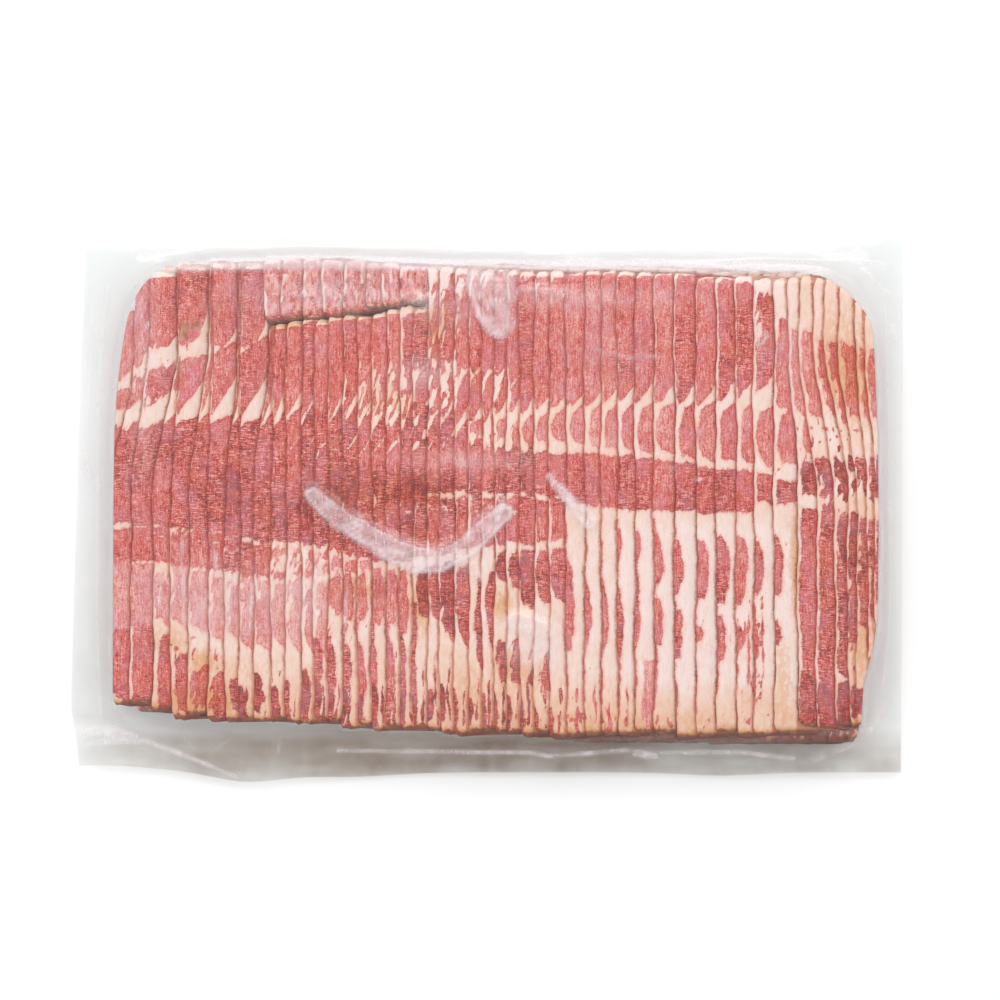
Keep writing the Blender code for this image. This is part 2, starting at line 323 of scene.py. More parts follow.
# Sides of the film and of the slab, as in the CAD.
def film_left(y):
    start, run, depth = LEFT_CURL
    return LEFT_X + LEFT_LEAN * y + depth * smooth((-start - y) / run)


def film_right(y):
    return RIGHT_X + RIGHT_LEAN * y


def film_back(x):
    start, run, height = BACK_RISE
    return swelling(BACK_Y, x, BACK_SWELLS) + height * smooth((x - start) / run)


def film_front(x):
    return swelling(FRONT_Y, x, FRONT_SWELLS)


def slab_left(y):
    start, run, depth = SLAB_LEFT_TAPER
    return SLAB_LEFT + depth * np.clip((y - start) / run, 0.0, 1.0) ** 2


def slab_right(y):
    return SLAB_RIGHT - SLAB_RIGHT_BOW * y * y


def slab_back(x):
    return swelling(SLAB_BACK, x, SLAB_BACK_SWELLS)


def slab_front(x):
    return swelling(SLAB_FRONT, x, SLAB_FRONT_SWELLS)


def slab_place(x, y):
    """Place in the slab, from -1 to 1 each way, and the slab's half lengths."""
    left, right = slab_left(y), slab_right(y)
    front, back = slab_front(x), slab_back(x)
    a = (2.0 * x - left - right) / (right - left)
    b = (2.0 * y - front - back) / (back - front)
    return a, b, (right - left) * 0.5, (back - front) * 0.5


def slab_depth(x, y):
    """Distance inwards from the slab's rounded outline, negative outside it."""
    a, b, half_x, half_y = slab_place(x, y)
    n = SLAB_CORNER_POWER
    a, b = np.maximum(np.abs(a), 1e-6), np.maximum(np.abs(b), 1e-6)
    q = (a ** n + b ** n) ** (1.0 / n)
    slope = np.hypot((a / q) ** (n - 1.0) / half_x, (b / q) ** (n - 1.0) / half_y)
    return (1.0 - q) / slope


def crest_height(x, y):
    """Height of the upper layer's free edges: a flat dome with slow lumps."""
    dome = 1.0 - 0.5 * ((x - 3.0) / 190.0) ** 4 - 0.4 * (y / 120.0) ** 4
    lumps = 0.35 * np.sin(x * 0.041 + 1.0) * np.cos(y * 0.052)
    return CREST_HEIGHT - 1.0 + dome + lumps


def flange_height(x, y):
    """Height of the film as it falls away from the slab."""
    a, b, half_x, half_y = slab_place(x, y)
    out_x = (np.abs(a) - 1.0) * half_x / FALL_X
    out_y = (np.abs(b) - 1.0) * half_y / FALL_Y
    t = np.clip(np.hypot(np.maximum(out_x, 0.0), np.maximum(out_y, 0.0)), 0.0, 1.0)
    wave = np.sin(x * 0.043 + 0.6) + 0.6 * np.sin(y * 0.061 + x * 0.012)
    root = mix(ROOT_HEIGHT, ROOT_HEIGHT_BACK, smooth((y + 60.0) / 150.0))
    return mix(root, EDGE_HEIGHT + EDGE_WAVE * wave, 1.0 - (1.0 - t) ** 1.5)


def outline_middle():
    """Middle of the film's outline, which the CAD puts at the origin."""
    xs = np.linspace(-210.0, 210.0, 841)
    ys = np.linspace(-140.0, 140.0, 561)
    inside = (ys > FRONT_Y + 3.0) & (ys < BACK_Y)
    low_x, high_x = film_left(ys[inside]).min(), film_right(film_back(207.0))
    across = (xs > film_left(0.0)) & (xs < RIGHT_X)
    low_y, high_y = film_front(xs[across]).min(), film_back(xs[across]).max()
    return (low_x + high_x) * 0.5, (low_y + high_y) * 0.5


MIDDLE = np.array([*outline_middle(), 0.0])


def to_frame(points):
    """Millimetres in the layout to metres in the CAD's frame."""
    return (np.asarray(points, float) - MIDDLE) * MM


# ---- lean and fat
def muscle(tone, curve, jitter, keys, power=1.0, reach=None):
    """A run of lean met by slice after slice.

    Its keys are, in millimetres, (x of the slice, back end at the free edge and at the covered
    side, front end at both, fat margin on the free edge). The curve narrows its two ends, the
    jitter shifts them from slice to slice, and the power bends the front end across the slice.
    A reach keeps the lean near the free edge instead of a margin: (x of the slice, width).
    """
    return dict(tone=tone, curve=curve, jitter=jitter, keys=keys, power=power, reach=reach)


MUSCLES = {
    "top_left": muscle(0.61, 0.4, 1.2, power=3.8, keys=(
        (-190, 98, 104, 60, 68, -3), (-178, 110, 113, 66, 74, -2), (-168, 116, 118, 79, 84, -1),
        (-160, 119, 119, 79, 107, -0.3), (-146, 119, 119, 80, 105, -0.4), (-137, 119, 119, 78, 90, -0.4),
        (-124, 119, 119, 78, 106, -0.4), (-112, 119, 119, 86, 104, -0.8))),
    "second_left": muscle(0.59, 0.4, 1.6, power=1.1, keys=(
        (-190, 56, 58, 46, 50, -3), (-172, 66, 70, 47, 54, -0.6), (-160, 72, 76, 43, 61, -0.3),
        (-140, 74, 79, 42, 64, -0.3), (-118, 74, 86, 41, 64, -0.4), (-108, 88, 91, 42, 60, -0.4),
        (-96, 92, 93, 42, 56, -0.5), (-60, 94, 96, 41, 54, -0.6), (-42, 95, 97, 41, 54, -0.5))),
    "top_middle": muscle(0.57, 0.3, 1.8, power=1.6, keys=(
        (-40, 108, 110, 41, 54, -0.5), (-18, 115, 115, 41, 53, -0.5), (1, 115, 115, 42, 52, -0.5),
        (10, 116, 116, 47, 55, -0.6), (33, 116, 116, 49, 57, -0.8), (60, 117, 117, 50, 60, -0.7),
        (81, 117, 117, 49, 61, -0.5), (106, 116, 116, 49, 62, -0.3), (121, 112, 112, 52, 63, 0.1),
        (132, 107, 106, 55, 64, 0.9), (143, 94, 90, 56, 60, 0.4))),
    "top_right": muscle(0.5, 0.5, 2.2, keys=(
        (141, 90, 88, 50, 46, 0.2), (150, 88, 86, 49, 44, 0.6), (162, 85, 82, 46, 42, 1),
        (176, 82, 80, 44, 41, 0.8), (196, 78, 76, 42, 40, 0.8))),
    "heart_left": muscle(0.72, 0.2, 1, power=1.1, keys=(
        (-190, 36, 42, -10, -10, -3), (-168, 40, 45, -10, -10.5, -1.6), (-150, 41, 46, -12, -13, -0.9),
        (-118, 39, 46, -18.4, -19, -1.2), (-98, 39.5, 50, -19.5, -20, -1.5), (-92, 40, 53, -20, -21, -1.5),
        (-60, 39.5, 52.5, -28, -28, -1.5), (-42, 39.5, 52.5, -30, -31, -1.5), (-36, 39.5, 52.5, 6, 5, -1.3),
        (-20, 38, 49, 6, 5, -1), (-8, 28, 35, 6, 4, -0.5), (16, 27, 30, 6, 4, -0.5), (31, 26, 27, 4, 3, 0))),
    "band_left": muscle(0.62, 0.2, 0.8, keys=(
        (-190, -11.4, -11.4, -27.5, -27.5, -3), (-158, -12.2, -12, -30, -30.4, -1),
        (-144, -14.6, -14, -32.6, -33.4, -0.5), (-114, -21, -20, -37, -37.5, -0.5),
        (-106, -33, -33, -38, -38, 0))),
    "mesh": muscle(0.4, 0.3, 0.8, keys=(
        (-112, -21, -20, -38, -38, -0.5), (-90, -22, -22, -35, -35, 0.2), (-64, -29, -29, -33, -33, 0.2))),
    "left_low": muscle(0.27, 0.8, 3, keys=(
        (-190, -28.5, -28.5, -60, -62, -3), (-160, -31, -31.5, -58, -64, 0),
        (-144, -34, -34.5, -62, -66, 0.3), (-114, -39.5, -39, -66, -72, 0.2),
        (-100, -38, -37, -66, -76, 0.3), (-84, -37, -36, -66, -80, 0.4))),
    "left_heads": muscle(0.5, 2, 3, reach=((-84, 7), (-60, 5.4), (-38, 5)), keys=(
        (-84, -36, -34, -54, -60), (-60, -34, -33, -58, -64), (-38, -34, -33, -62, -70))),
    "left_feet": muscle(0.68, 2, 4, reach=((-92, 3.6), (-66, 4.6), (-52, 3.4), (-36, 2.6)), keys=(
        (-92, -64, -62, -92, -96), (-76, -66, -64, -94, -98), (-52, -68, -66, -98, -102),
        (-36, -74, -72, -104, -106))),
    "left_waist": muscle(0.72, 0.4, 4, reach=((-84, 1.2), (-36, 1.6)), keys=(
        (-84, -50, -50, -104, -106), (-36, -50, -50, -110, -112))),
    "left_corner": muscle(0.66, 1.2, 2, keys=(
        (-190, -62, -60, -96, -98, -1), (-176, -62, -60, -97, -100, 0.9), (-164, -68, -64, -98, -102, 1.4),
        (-152, -84, -80, -101, -104, 0.3), (-136, -87, -85, -102, -105, 0.2),
        (-124, -90, -84, -101, -105, 2.4))),
    "bottom_gaps": muscle(0.92, 1.6, 4, reach=((-124, 4), (-74, 3.2), (-34, 2.8), (34, 1.4)), keys=(
        (-124, -88, -86, -105, -108), (-96, -86, -84, -107, -109), (-74, -86, -84, -109, -111),
        (-34, -90, -88, -111, -113), (34, -100, -100, -114, -115))),
    "ovals": muscle(0.44, 1.9, 0.9, power=0.7, keys=(
        (-14, 41, 46, 36, 31, 0.6), (9, 39, 44, 32, 29, 0.9), (30, 44, 50, 33, 30.5, 0.9),
        (46, 44, 51, 31.5, 28.5, 1.1), (56, 44, 51, 30, 27, 1.1), (81, 45, 52, 27, 24.5, 1.2),
        (106, 45, 52, 24, 21, 1.1), (130, 44, 51, 22, 19.5, 1), (146, 41, 47, 22, 20, 1),
        (154, 38, 42, 26, 25, 2.4))),
    "red_band": muscle(0.66, 0.2, 0.8, keys=(
        (28, 26, 26, 4, 4, -2), (45, 26, 26, 0, 0, -2), (56, 25, 25, -1.5, -2, -2),
        (81, 22, 22, -3, -3, -2), (106, 18.5, 18.5, -4, -4, -2), (121, 16.5, 17, -6, -5, -1),
        (134, 15, 14, 1, 0, 0.4), (143, 13, 12, 1, 1, 0.6), (152, 11, 10, 2, 2, 2))),
    "blocks": muscle(0.64, 0.3, 0.6, keys=(
        (-46, 1, 2, -28, -27, -0.5), (-30, 3, 4, -26, -24, 0), (-12, 3, 4, -22, -21, 0),
        (4, 3, 3, -20, -20, -0.5), (20, 3, 3, -19.5, -19.5, -1), (32, 2.5, 1.5, -19, -17, 0.3))),
    "fingers": muscle(0.76, 1.8, 2.4, keys=(
        (-40, -32, -31, -50, -54, 1), (-28, -31, -30, -56, -62, -0.4), (-18, -30, -28, -62, -72, -0.4),
        (-12, -38, -34, -66, -80, 1.6), (-4, -42, -38, -76, -86, 2.6), (1, -22, -22, -37, -39, -0.4),
        (8, -22, -22, -38, -40, 0.2), (11, -22, -21.5, -47, -49, 1.4), (16, -22, -21.5, -47, -49, -0.2),
        (31, -22, -21.5, -48, -50, 0.2))),
    "low_middle": muscle(0.8, 1.4, 2, keys=(
        (1, -66, -66, -85, -88, 0.6), (8, -66, -66, -85, -88, 1), (12, -72, -70, -88, -92, 3),
        (30, -72, -70, -88, -92, 3.4))),
    "streaks": muscle(0.62, 2.6, 3, reach=(
        (34, 4.6), (46, 4.2), (49, 2.6), (60, 2.3), (66, 2.6), (77, 2.9), (79, 3.5), (100, 4.3), (108, 6.6),
        (121, 7), (124, 5), (148, 4.4)), keys=(
        (34, -28, -27, -70, -74), (46, -29, -28, -72, -76), (49, -36, -36, -80, -80),
        (60, -36, -36, -80, -80), (66, -42, -42, -77, -77), (77, -44, -44, -74, -75),
        (79, -17, -17, -41, -43), (100, -17, -17, -44, -46), (108, -17, -16, -46, -48),
        (122, -17, -16, -46, -49), (148, -18, -18, -48, -50))),
    "rims": muscle(0.62, 0.2, 6, reach=((34, 0.35), (142, 0.35)), keys=(
        (34, -10, -10, -100, -102), (70, -8, -8, -100, -102), (142, -14, -14, -100, -102))),
    "short_streaks": muscle(0.56, 1.2, 3, reach=((60, 1.6), (78, 3.2)), keys=(
        (60, -14, -13, -26, -30), (78, -11, -10, -26, -28))),
    "flecks": muscle(0.6, 1.4, 4, reach=((79, 4.4), (92, 3.6), (104, 3.4), (148, 2.6)), keys=(
        (79, -47, -46, -72, -76), (92, -51, -50, -74, -78), (104, -58, -57, -72, -76),
        (148, -62, -62, -74, -76))),
    "low_pink": muscle(0.26, 0.8, 1.5, keys=(
        (66, -82, -80, -112, -112, 5), (74, -78, -76, -112, -112, 3.6), (80, -84, -82, -112, -112, 5))),
    "diamonds": muscle(0.88, 0.8, 1.5, keys=(
        (146, 22, 20, 6, 3, 2), (158, 25, 23, 4, 2, 0.6), (176, 25, 23, 4, 1, 0.3), (198, 25, 23, 4, 1, 0.2))),
    "right_strips": muscle(0.74, 0.3, 1.5, keys=(
        (143, -50, -50, -104, -106, 1.2), (147, -48, -48, -104, -106, 0.2), (152, -1, -1, -106, -106, 1.2),
        (161, 3, 2, -104, -104, 1.5), (170, 1, 0, -100, -100, 1.2), (174, -4, -4, -70, -74, 0.6),
        (198, -6, -6, -44, -48, 0.2))),
    "right_foot": muscle(0.96, 0.5, 2, keys=(
        (144, -84, -80, -112, -113, 2.4), (152, -80, -78, -113, -113, 0.4),
        (166, -88, -84, -110, -110, 0.6), (184, -92, -90, -106, -106, 0))),
}
# Depth where there is no lean at all, and what hides the bits of lean outside their patches.
NO_LEAN = -9.0
ABSENT = 5.0
# Slices left of here have the lean of the slice that lies here.
LEFT_MOST = -189.0

# Thin lines of fat that cross the lean of each strip:
# ((x, y at the free edge, rise to the covered side, half width), ...), then a V's depth.
SEAMS = (
    (((-104, 24, 9, 0.4), (-60, 25, 10, 0.34), (-22, 27, 9, 0.3)), 0),
    (((-176, -17, 1, 0.24), (-148, -19, 1, 0.2), (-120, -25, 1, 0.24)), 2),
    (((-40, 62, 8, 0.36), (-16, 63, 7, 0.42), (12, 58, 8, 0.36)), 0),
    (((-50, -2, -3, 0.3), (-20, 0, -3, 0.34), (14, -1, -2, 0.3)), 1.6),
    (((-112, -22, 2, 0.42), (-92, -23, 2, 0.42), (-70, -29, 2, 0.4)), 2.4),
    (((-112, -28, 2, 0.42), (-92, -29, 2, 0.42), (-74, -32, 2, 0.4)), -2.4),
    (((-112, -33, 2, 0.36), (-92, -34, 2, 0.36), (-80, -35, 2, 0.36)), 2),
)

# Patches where fat is scattered through the lean: (x, y, half length in x and y, amount).
SCATTER = (
    (-160, 74, 14, 9, 1), (-176, 50, 8, 26, 0.5), (-163, 52, 9, 7, 0.6), (-52, 54, 17, 14, 1.6),
    (-22, 62, 9, 13, 1.3), (-24, 88, 12, 9, 0.9), (-26, 107, 14, 8, 1.3), (-10, 111, 40, 4, 0.8),
    (2, 56, 9, 9, 0.8), (-36, 36, 14, 6, 0.6), (4, 34, 14, 6, 0.9), (-96, -26, 16, 8, 0.45),
    (-88, -50, 16, 16, 0.7), (-142, -96, 14, 8, 0.6), (-24, -52, 8, 14, 0.4), (18, -74, 14, 12, 0.8),
    (136, 94, 7, 14, 0.6), (-134, -46, 30, 13, 0.6), (178, 60, 16, 20, 0.5), (176, 10, 16, 12, 0.7),
    (184, -30, 10, 20, 0.5), (-158, -44, 6, 9, 0.9), (-58, 2, 18, 6, 0.5), (-104, 104, 9, 10, 0.5),
)
# Places where bits of lean are scattered through fat, stated as above.
SPECKS = (
    (-156, 76, 16, 8, 0.8), (-150, 50, 20, 6, 0.4), (-150, -72, 18, 10, 0.8), (-96, -28, 20, 10, 0.7),
    (112, -62, 26, 12, 0.7), (134, -60, 7, 30, 0.7), (98, -14, 30, 6, 0.5), (136, 96, 8, 14, 0.9),
    (158, 34, 12, 14, 0.9), (180, 34, 14, 9, 0.9), (182, -66, 12, 26, 0.8), (146, -20, 5, 26, 0.6),
    (6, -92, 40, 18, 0.5), (130, -98, 16, 12, 0.7), (-120, -84, 30, 16, 0.5), (146, 12, 7, 12, 0.6),
    (8, 34, 14, 7, 0.8), (-60, -60, 26, 24, 0.5), (60, -96, 26, 16, 0.5), (70, -108, 80, 6, 0.7),
)
# Places where a thin thread of lean runs along the fat.
THREADS = (
    (0, -100, 64, 20, 1), (-130, -98, 34, 12, 1), (60, -100, 34, 18, 0.9), (184, -66, 10, 34, 1),
    (180, 66, 16, 34, 1), (-70, -98, 44, 16, 0.9), (134, -72, 9, 36, 1), (110, -74, 24, 28, 0.7),
    (-20, -76, 14, 16, 0.6),
)
# Yellow-brown stains: (x, y, half length in x and y, strength).
STAINS = (
    (-158, -68, 10, 9, 0.9), (-141, -78, 6, 6, 1), (-37, -16, 9, 8, 0.8), (-33, -52, 6, 15, 1),
    (7, -49, 6, 9, 1.2), (8, -77, 6, 10, 0.8), (-70, 4, 32, 9, 0.5), (152, -28, 2.6, 28, 1.2),
    (166, -36, 2.2, 24, 1), (-26, 90, 10, 9, 1.1), (-50, 52, 14, 10, 0.5), (-10, -92, 24, 14, 0.5),
    (-100, 89, 10, 3.5, 0.8), (-66, 91, 26, 3, 0.6), (-72, 68, 40, 22, 0.35), (0, 84, 34, 26, 0.22),
    (186, -66, 8, 28, 0.8), (20, -84, 10, 10, 0.7), (172, 88, 18, 20, 0.42), (172, 62, 20, 14, 0.4),
    (146, -86, 5, 22, 0.8), (-62, -42, 20, 9, 0.8), (180, 66, 18, 22, 0.45), (-138, -98, 26, 9, 0.8),
    (184, -22, 10, 20, 0.5), (30, -119, 170, 6, 1.2), (70, -108, 80, 8, 0.5), (184, 52, 14, 26, 0.4),
    (-120, -80, 34, 8, 0.45), (-62, 8, 40, 16, 0.45), (-150, -96, 16, 8, 0.5), (126, -94, 16, 8, 0.35),
    (-30, 6, 16, 6, 0.5),
)
# Places where lean is paler or deeper than its muscle, by a change of tone.
SHIFTS = (
    (-176, 60, 9, 60, -0.12), (-152, 106, 12, 14, 0.1), (130, 84, 8, 20, 0.16), (-60, 22, 30, 8, -0.04),
    (-72, 8, 34, 14, 0.06), (-16, 22, 26, 6, -0.22), (-16, 10, 34, 6, 0.16), (150, 68, 8, 24, -0.1),
    (60, 104, 50, 7, -0.18), (-24, -40, 12, 16, 0.14), (184, -20, 9, 18, 0.3), (-100, 0, 50, 14, 0.1),
    (6, -32, 8, 10, 0.12),
)


def spots(x, y, places):
    """Sum of soft spots, each (x, y, half length in x and y, strength)."""
    total = np.zeros(np.broadcast(x, y).shape)
    for cx, cy, rx, ry, strength in places:
        total = total + strength * np.exp(-(((x - cx) / rx) ** 2) - ((y - cy) / ry) ** 2)
    return total


def within(x, xs, value, other):
    """The value where x lies between the first and the last key, and the other elsewhere."""
    return np.where((x >= xs[0]) & (x <= xs[-1]), value, other)


def muscle_depth(muscle, x, y, u, w, rng):
    """Depth into one muscle in millimetres, negative outside it."""
    xs, *columns = zip(*muscle["keys"])
    back_free, back_covered, front_free, front_covered, *margin = (np.interp(x, xs, c) for c in columns)
    back_shift, front_shift = muscle["jitter"] * rng.uniform(-1.0, 1.0, 2)
    side_shift = rng.uniform(-0.6, 0.6)
    along = np.clip(u, 0.0, 1.15)
    back = mix(back_free, back_covered, along) + back_shift
    front = mix(front_free, front_covered, along ** muscle["power"]) + front_shift
    v = (2.0 * y - back - front) / np.maximum(back - front, 1.0)
    taper = muscle["curve"] * np.minimum(v * v, 1.5)
    if muscle["reach"]:
        at_side = keyed(x, muscle["reach"]) + side_shift - taper - w
    else:
        at_side = w - margin[0] - side_shift - taper
    depth = np.minimum(np.minimum(back - y, y - front) * 0.8, at_side * 0.9)
    return within(x, xs, depth, NO_LEAN)


def seam_gap(keys, vee, x, y, u, shift):
    """Distance to a thin line of fat, less its half width."""
    xs, *columns = zip(*keys)
    low, rise, half = (np.interp(x, xs, column) for column in columns)
    line = low + rise * u + vee * np.abs(2.0 * u - 1.0) + shift
    return within(x, xs, np.abs(y - line) * 0.8 - half, -NO_LEAN)


def belly_field(x, y, w, shown, number):
    """Depth into lean in millimetres, the lean's redness and the fat's warmth, for one slice."""
    rng = np.random.default_rng(BELLY_SEED + number)
    x = np.maximum(x, LEFT_MOST)
    u = w / shown
    across = x + w
    y = y + 1.1 * value_noise(across / 3.1 + 3.0, y / 4.0, 11) + 0.7 * value_noise(across / 1.3, y / 1.9, 12)
    w = w + 0.5 * value_noise(w / 1.6 + number * 7.3, y / 3.2, 13)
    w = w + 0.5 * value_noise(number * 3.7, y / 11.0, 15)
    depth, tone = np.full(np.shape(y), NO_LEAN), np.full(np.shape(y), 0.5)
    for muscle in MUSCLES.values():
        one = muscle_depth(muscle, x, y, u, w, rng)
        tone = np.where(one > depth, muscle["tone"], tone)
        depth = np.maximum(one, depth)
    for keys, vee in SEAMS:
        depth = np.minimum(depth, seam_gap(keys, vee, x, y, u, rng.uniform(-1.6, 1.6)))
    grain = layered(0.0, across, y, (1.0, 1.7, 2.9, 16), (0.5, 0.9, 1.3, 17))
    bits = np.minimum(1.2 * spots(across, y, SPECKS), 1.0)
    depth = np.maximum(depth, 4.5 * (grain - 0.5) - ABSENT * (1.0 - bits))
    strand = 0.55 * shown * rng.uniform(0.7, 1.25) + 0.9 * value_noise(number * 5.1, y / 13.0, 18)
    thread = 0.9 - 1.7 * np.abs(w - strand) + 1.1 * value_noise(number * 2.9, y / 5.0, 19)
    depth = np.maximum(depth, thread - ABSENT * (1.0 - np.minimum(spots(across, y, THREADS), 1.0)))
    flame = value_noise((across - 0.3 * y) / 1.4, y / 5.0, 20) + 0.4 * grain
    depth = depth - ABSENT * spots(across, y, SCATTER) * smooth((0.15 - flame) / 0.7)
    tone = layered(tone + spots(across, y, SHIFTS), across, y, (0.10, 16.0, 14.0, 14))
    tone = tone + rng.uniform(-0.09, 0.09)
    return depth, tone, fat_warmth(x, y) + rng.uniform(-0.07, 0.07)


def flap_field(x, y, w, shown, number):
    """The same for the short ends at the back, which are mottled all over."""
    lean = 1.6 + 2.4 * value_noise(w / 2.2 + number, y / 3.0, 51)
    lean = lean - 3.2 * fading(w, 1.6) * (value_noise(y / 9.0, number * 1.7, 52) + 0.4)
    tone = 0.42 + 0.48 * value_noise(w / 1.8 + number, y / 3.2, 53) + 0.30 * value_noise(w / 0.9, y / 1.6, 54)
    return lean, tone, fat_warmth(x, y)


def plain_field(x, y, w, shown, number):
    """The same for slices that only show at the ends and underneath."""
    rng = np.random.default_rng(PLAIN_SEED + number)
    bend = 1.6 * value_noise(x / 5.0 + w / 4.0, y / 6.0, 21)
    y = y + bend + 0.8 * value_noise(w / 1.6 + number, y / 2.2, 23)
    w = w + 0.5 * value_noise(w / 1.8 + number * 7.3, y / 3.4, 24)
    depth = np.full(np.shape(y), NO_LEAN)
    for low, high, margin in UNDER_MUSCLES:
        low = low + 5.0 * rng.uniform(-1.0, 1.0) + 0.05 * x
        high = high + 5.0 * rng.uniform(-1.0, 1.0) + 0.05 * x
        inner = margin + rng.uniform(-1.0, 1.0)
        v = (2.0 * y - low - high) / (high - low)
        side = np.minimum(w - 1.0, SLICE_WIDTH - w - inner - 2.0 * np.minimum(v * v, 1.5))
        depth = np.maximum(depth, np.minimum(np.minimum(y - low, high - y) * 1.1, side * 1.8))
    tone = layered(0.5, x, y, (0.2, 20.0, 20.0, 22)) + rng.uniform(-0.08, 0.08)
    brown = smooth((-104.0 - y) / 6.0)
    pale = smooth((y - 106.0) / 5.0)
    ends = value_noise(x / 2.6 + w / 1.5, y / 2.0 + number, 25)
    depth = mix(mix(depth, 0.8 + 3.0 * ends, brown), -3.2 + 1.6 * ends, pale)
    return depth, mix(tone, 0.96, brown), mix(0.3, 0.75, brown)


def fat_warmth(x, y):
    """0 for white fat, 1 for tan fat."""
    back, front = smooth((y - 98.0) / 12.0), smooth((-84.0 - y) / 24.0)
    warm = layered(0.26, x, y, (0.12, 12.0, 12.0, 31)) - 0.3 * back * (x < 140.0) + 0.40 * front
    warm = warm + 0.04 * smooth((x - 140.0) / 14.0) * smooth((y - 66.0) / 20.0)
    warm = warm + 0.24 * bump(x + 5.0, 42.0) * smooth((-60.0 - y) / 25.0)
    warm = warm + 0.34 * smooth((x - 165.0) / 10.0) * smooth((10.0 - y) / 12.0)
    warm = warm - 0.26 * bump(x - 88.0, 56.0) * smooth((-8.0 - y) / 6.0) * smooth((y + 100.0) / 20.0)
    warm = warm + 0.20 * bump(x + 130.0, 40.0) * smooth((-70.0 - y) / 20.0)
    return np.clip(warm, 0.0, 1.0)


# ---------------------------------------------------------------- colours
def colour(red, green, blue):
    """A colour given as seen, 0 to 255, for a shader."""
    return (*(((c / 255.0 + 0.055) / 1.055) ** 2.4 for c in (red, green, blue)), 1.0)


# Lean and fat, from palest to deepest.
LEAN_STOPS = ((0.0, colour(226, 172, 166)), (0.3, colour(214, 140, 134)), (0.55, colour(199, 95, 89)),
              (0.8, colour(199, 58, 50)), (1.0, colour(122, 44, 38)))
FAT_STOPS = ((0.0, colour(230, 208, 202)), (0.5, colour(226, 190, 171)), (1.0, colour(214, 168, 130)))
MAUVE = colour(196, 126, 146)
RUST = colour(196, 98, 70)
MARBLE = colour(236, 190, 176)
BLUSH = colour(226, 170, 157)
AMBER = colour(238, 202, 152)
BROWN = colour(116, 68, 46)
# Painted shade: the gap line under the next slice's edge, and the covered side of each strip.
GAP_SHADE_TINT = colour(172, 92, 72)
COVERED_SHADE_TINT = colour(232, 184, 158)
# Painted glare of the film.
GLARE_WHITE = colour(240, 230, 234)
CLEAR_TINT = colour(252.6, 254, 254)
# Painted shade of the film.
FILM_SHADE_TINT = colour(204, 198, 193)
# Painted bounce light: the film's painted shade warmed by the meat.
BOUNCE_TINT = colour(194, 172, 155)
WHITE = (1.0, 1.0, 1.0, 1.0)
FLOOR_TONE = 0.89


# ---- slices as meshes
def corner_cut(y, cut):
    """How far a corner's cut comes in from the side."""
    start, run, deep = cut
    return deep * np.clip((y - start) / run, 0.0, 1.0) ** 2


# Where the meat stops inside the slab.
def meat_left(y):
    return slab_left(y) + MEAT_LEFT_GAP + corner_cut(y, BACK_LEFT_CUT)


def meat_right(y):
    return slab_right(y) - MEAT_RIGHT_GAP - corner_cut(y, BACK_RIGHT_CUT) - corner_cut(-y, FRONT_RIGHT_CUT)


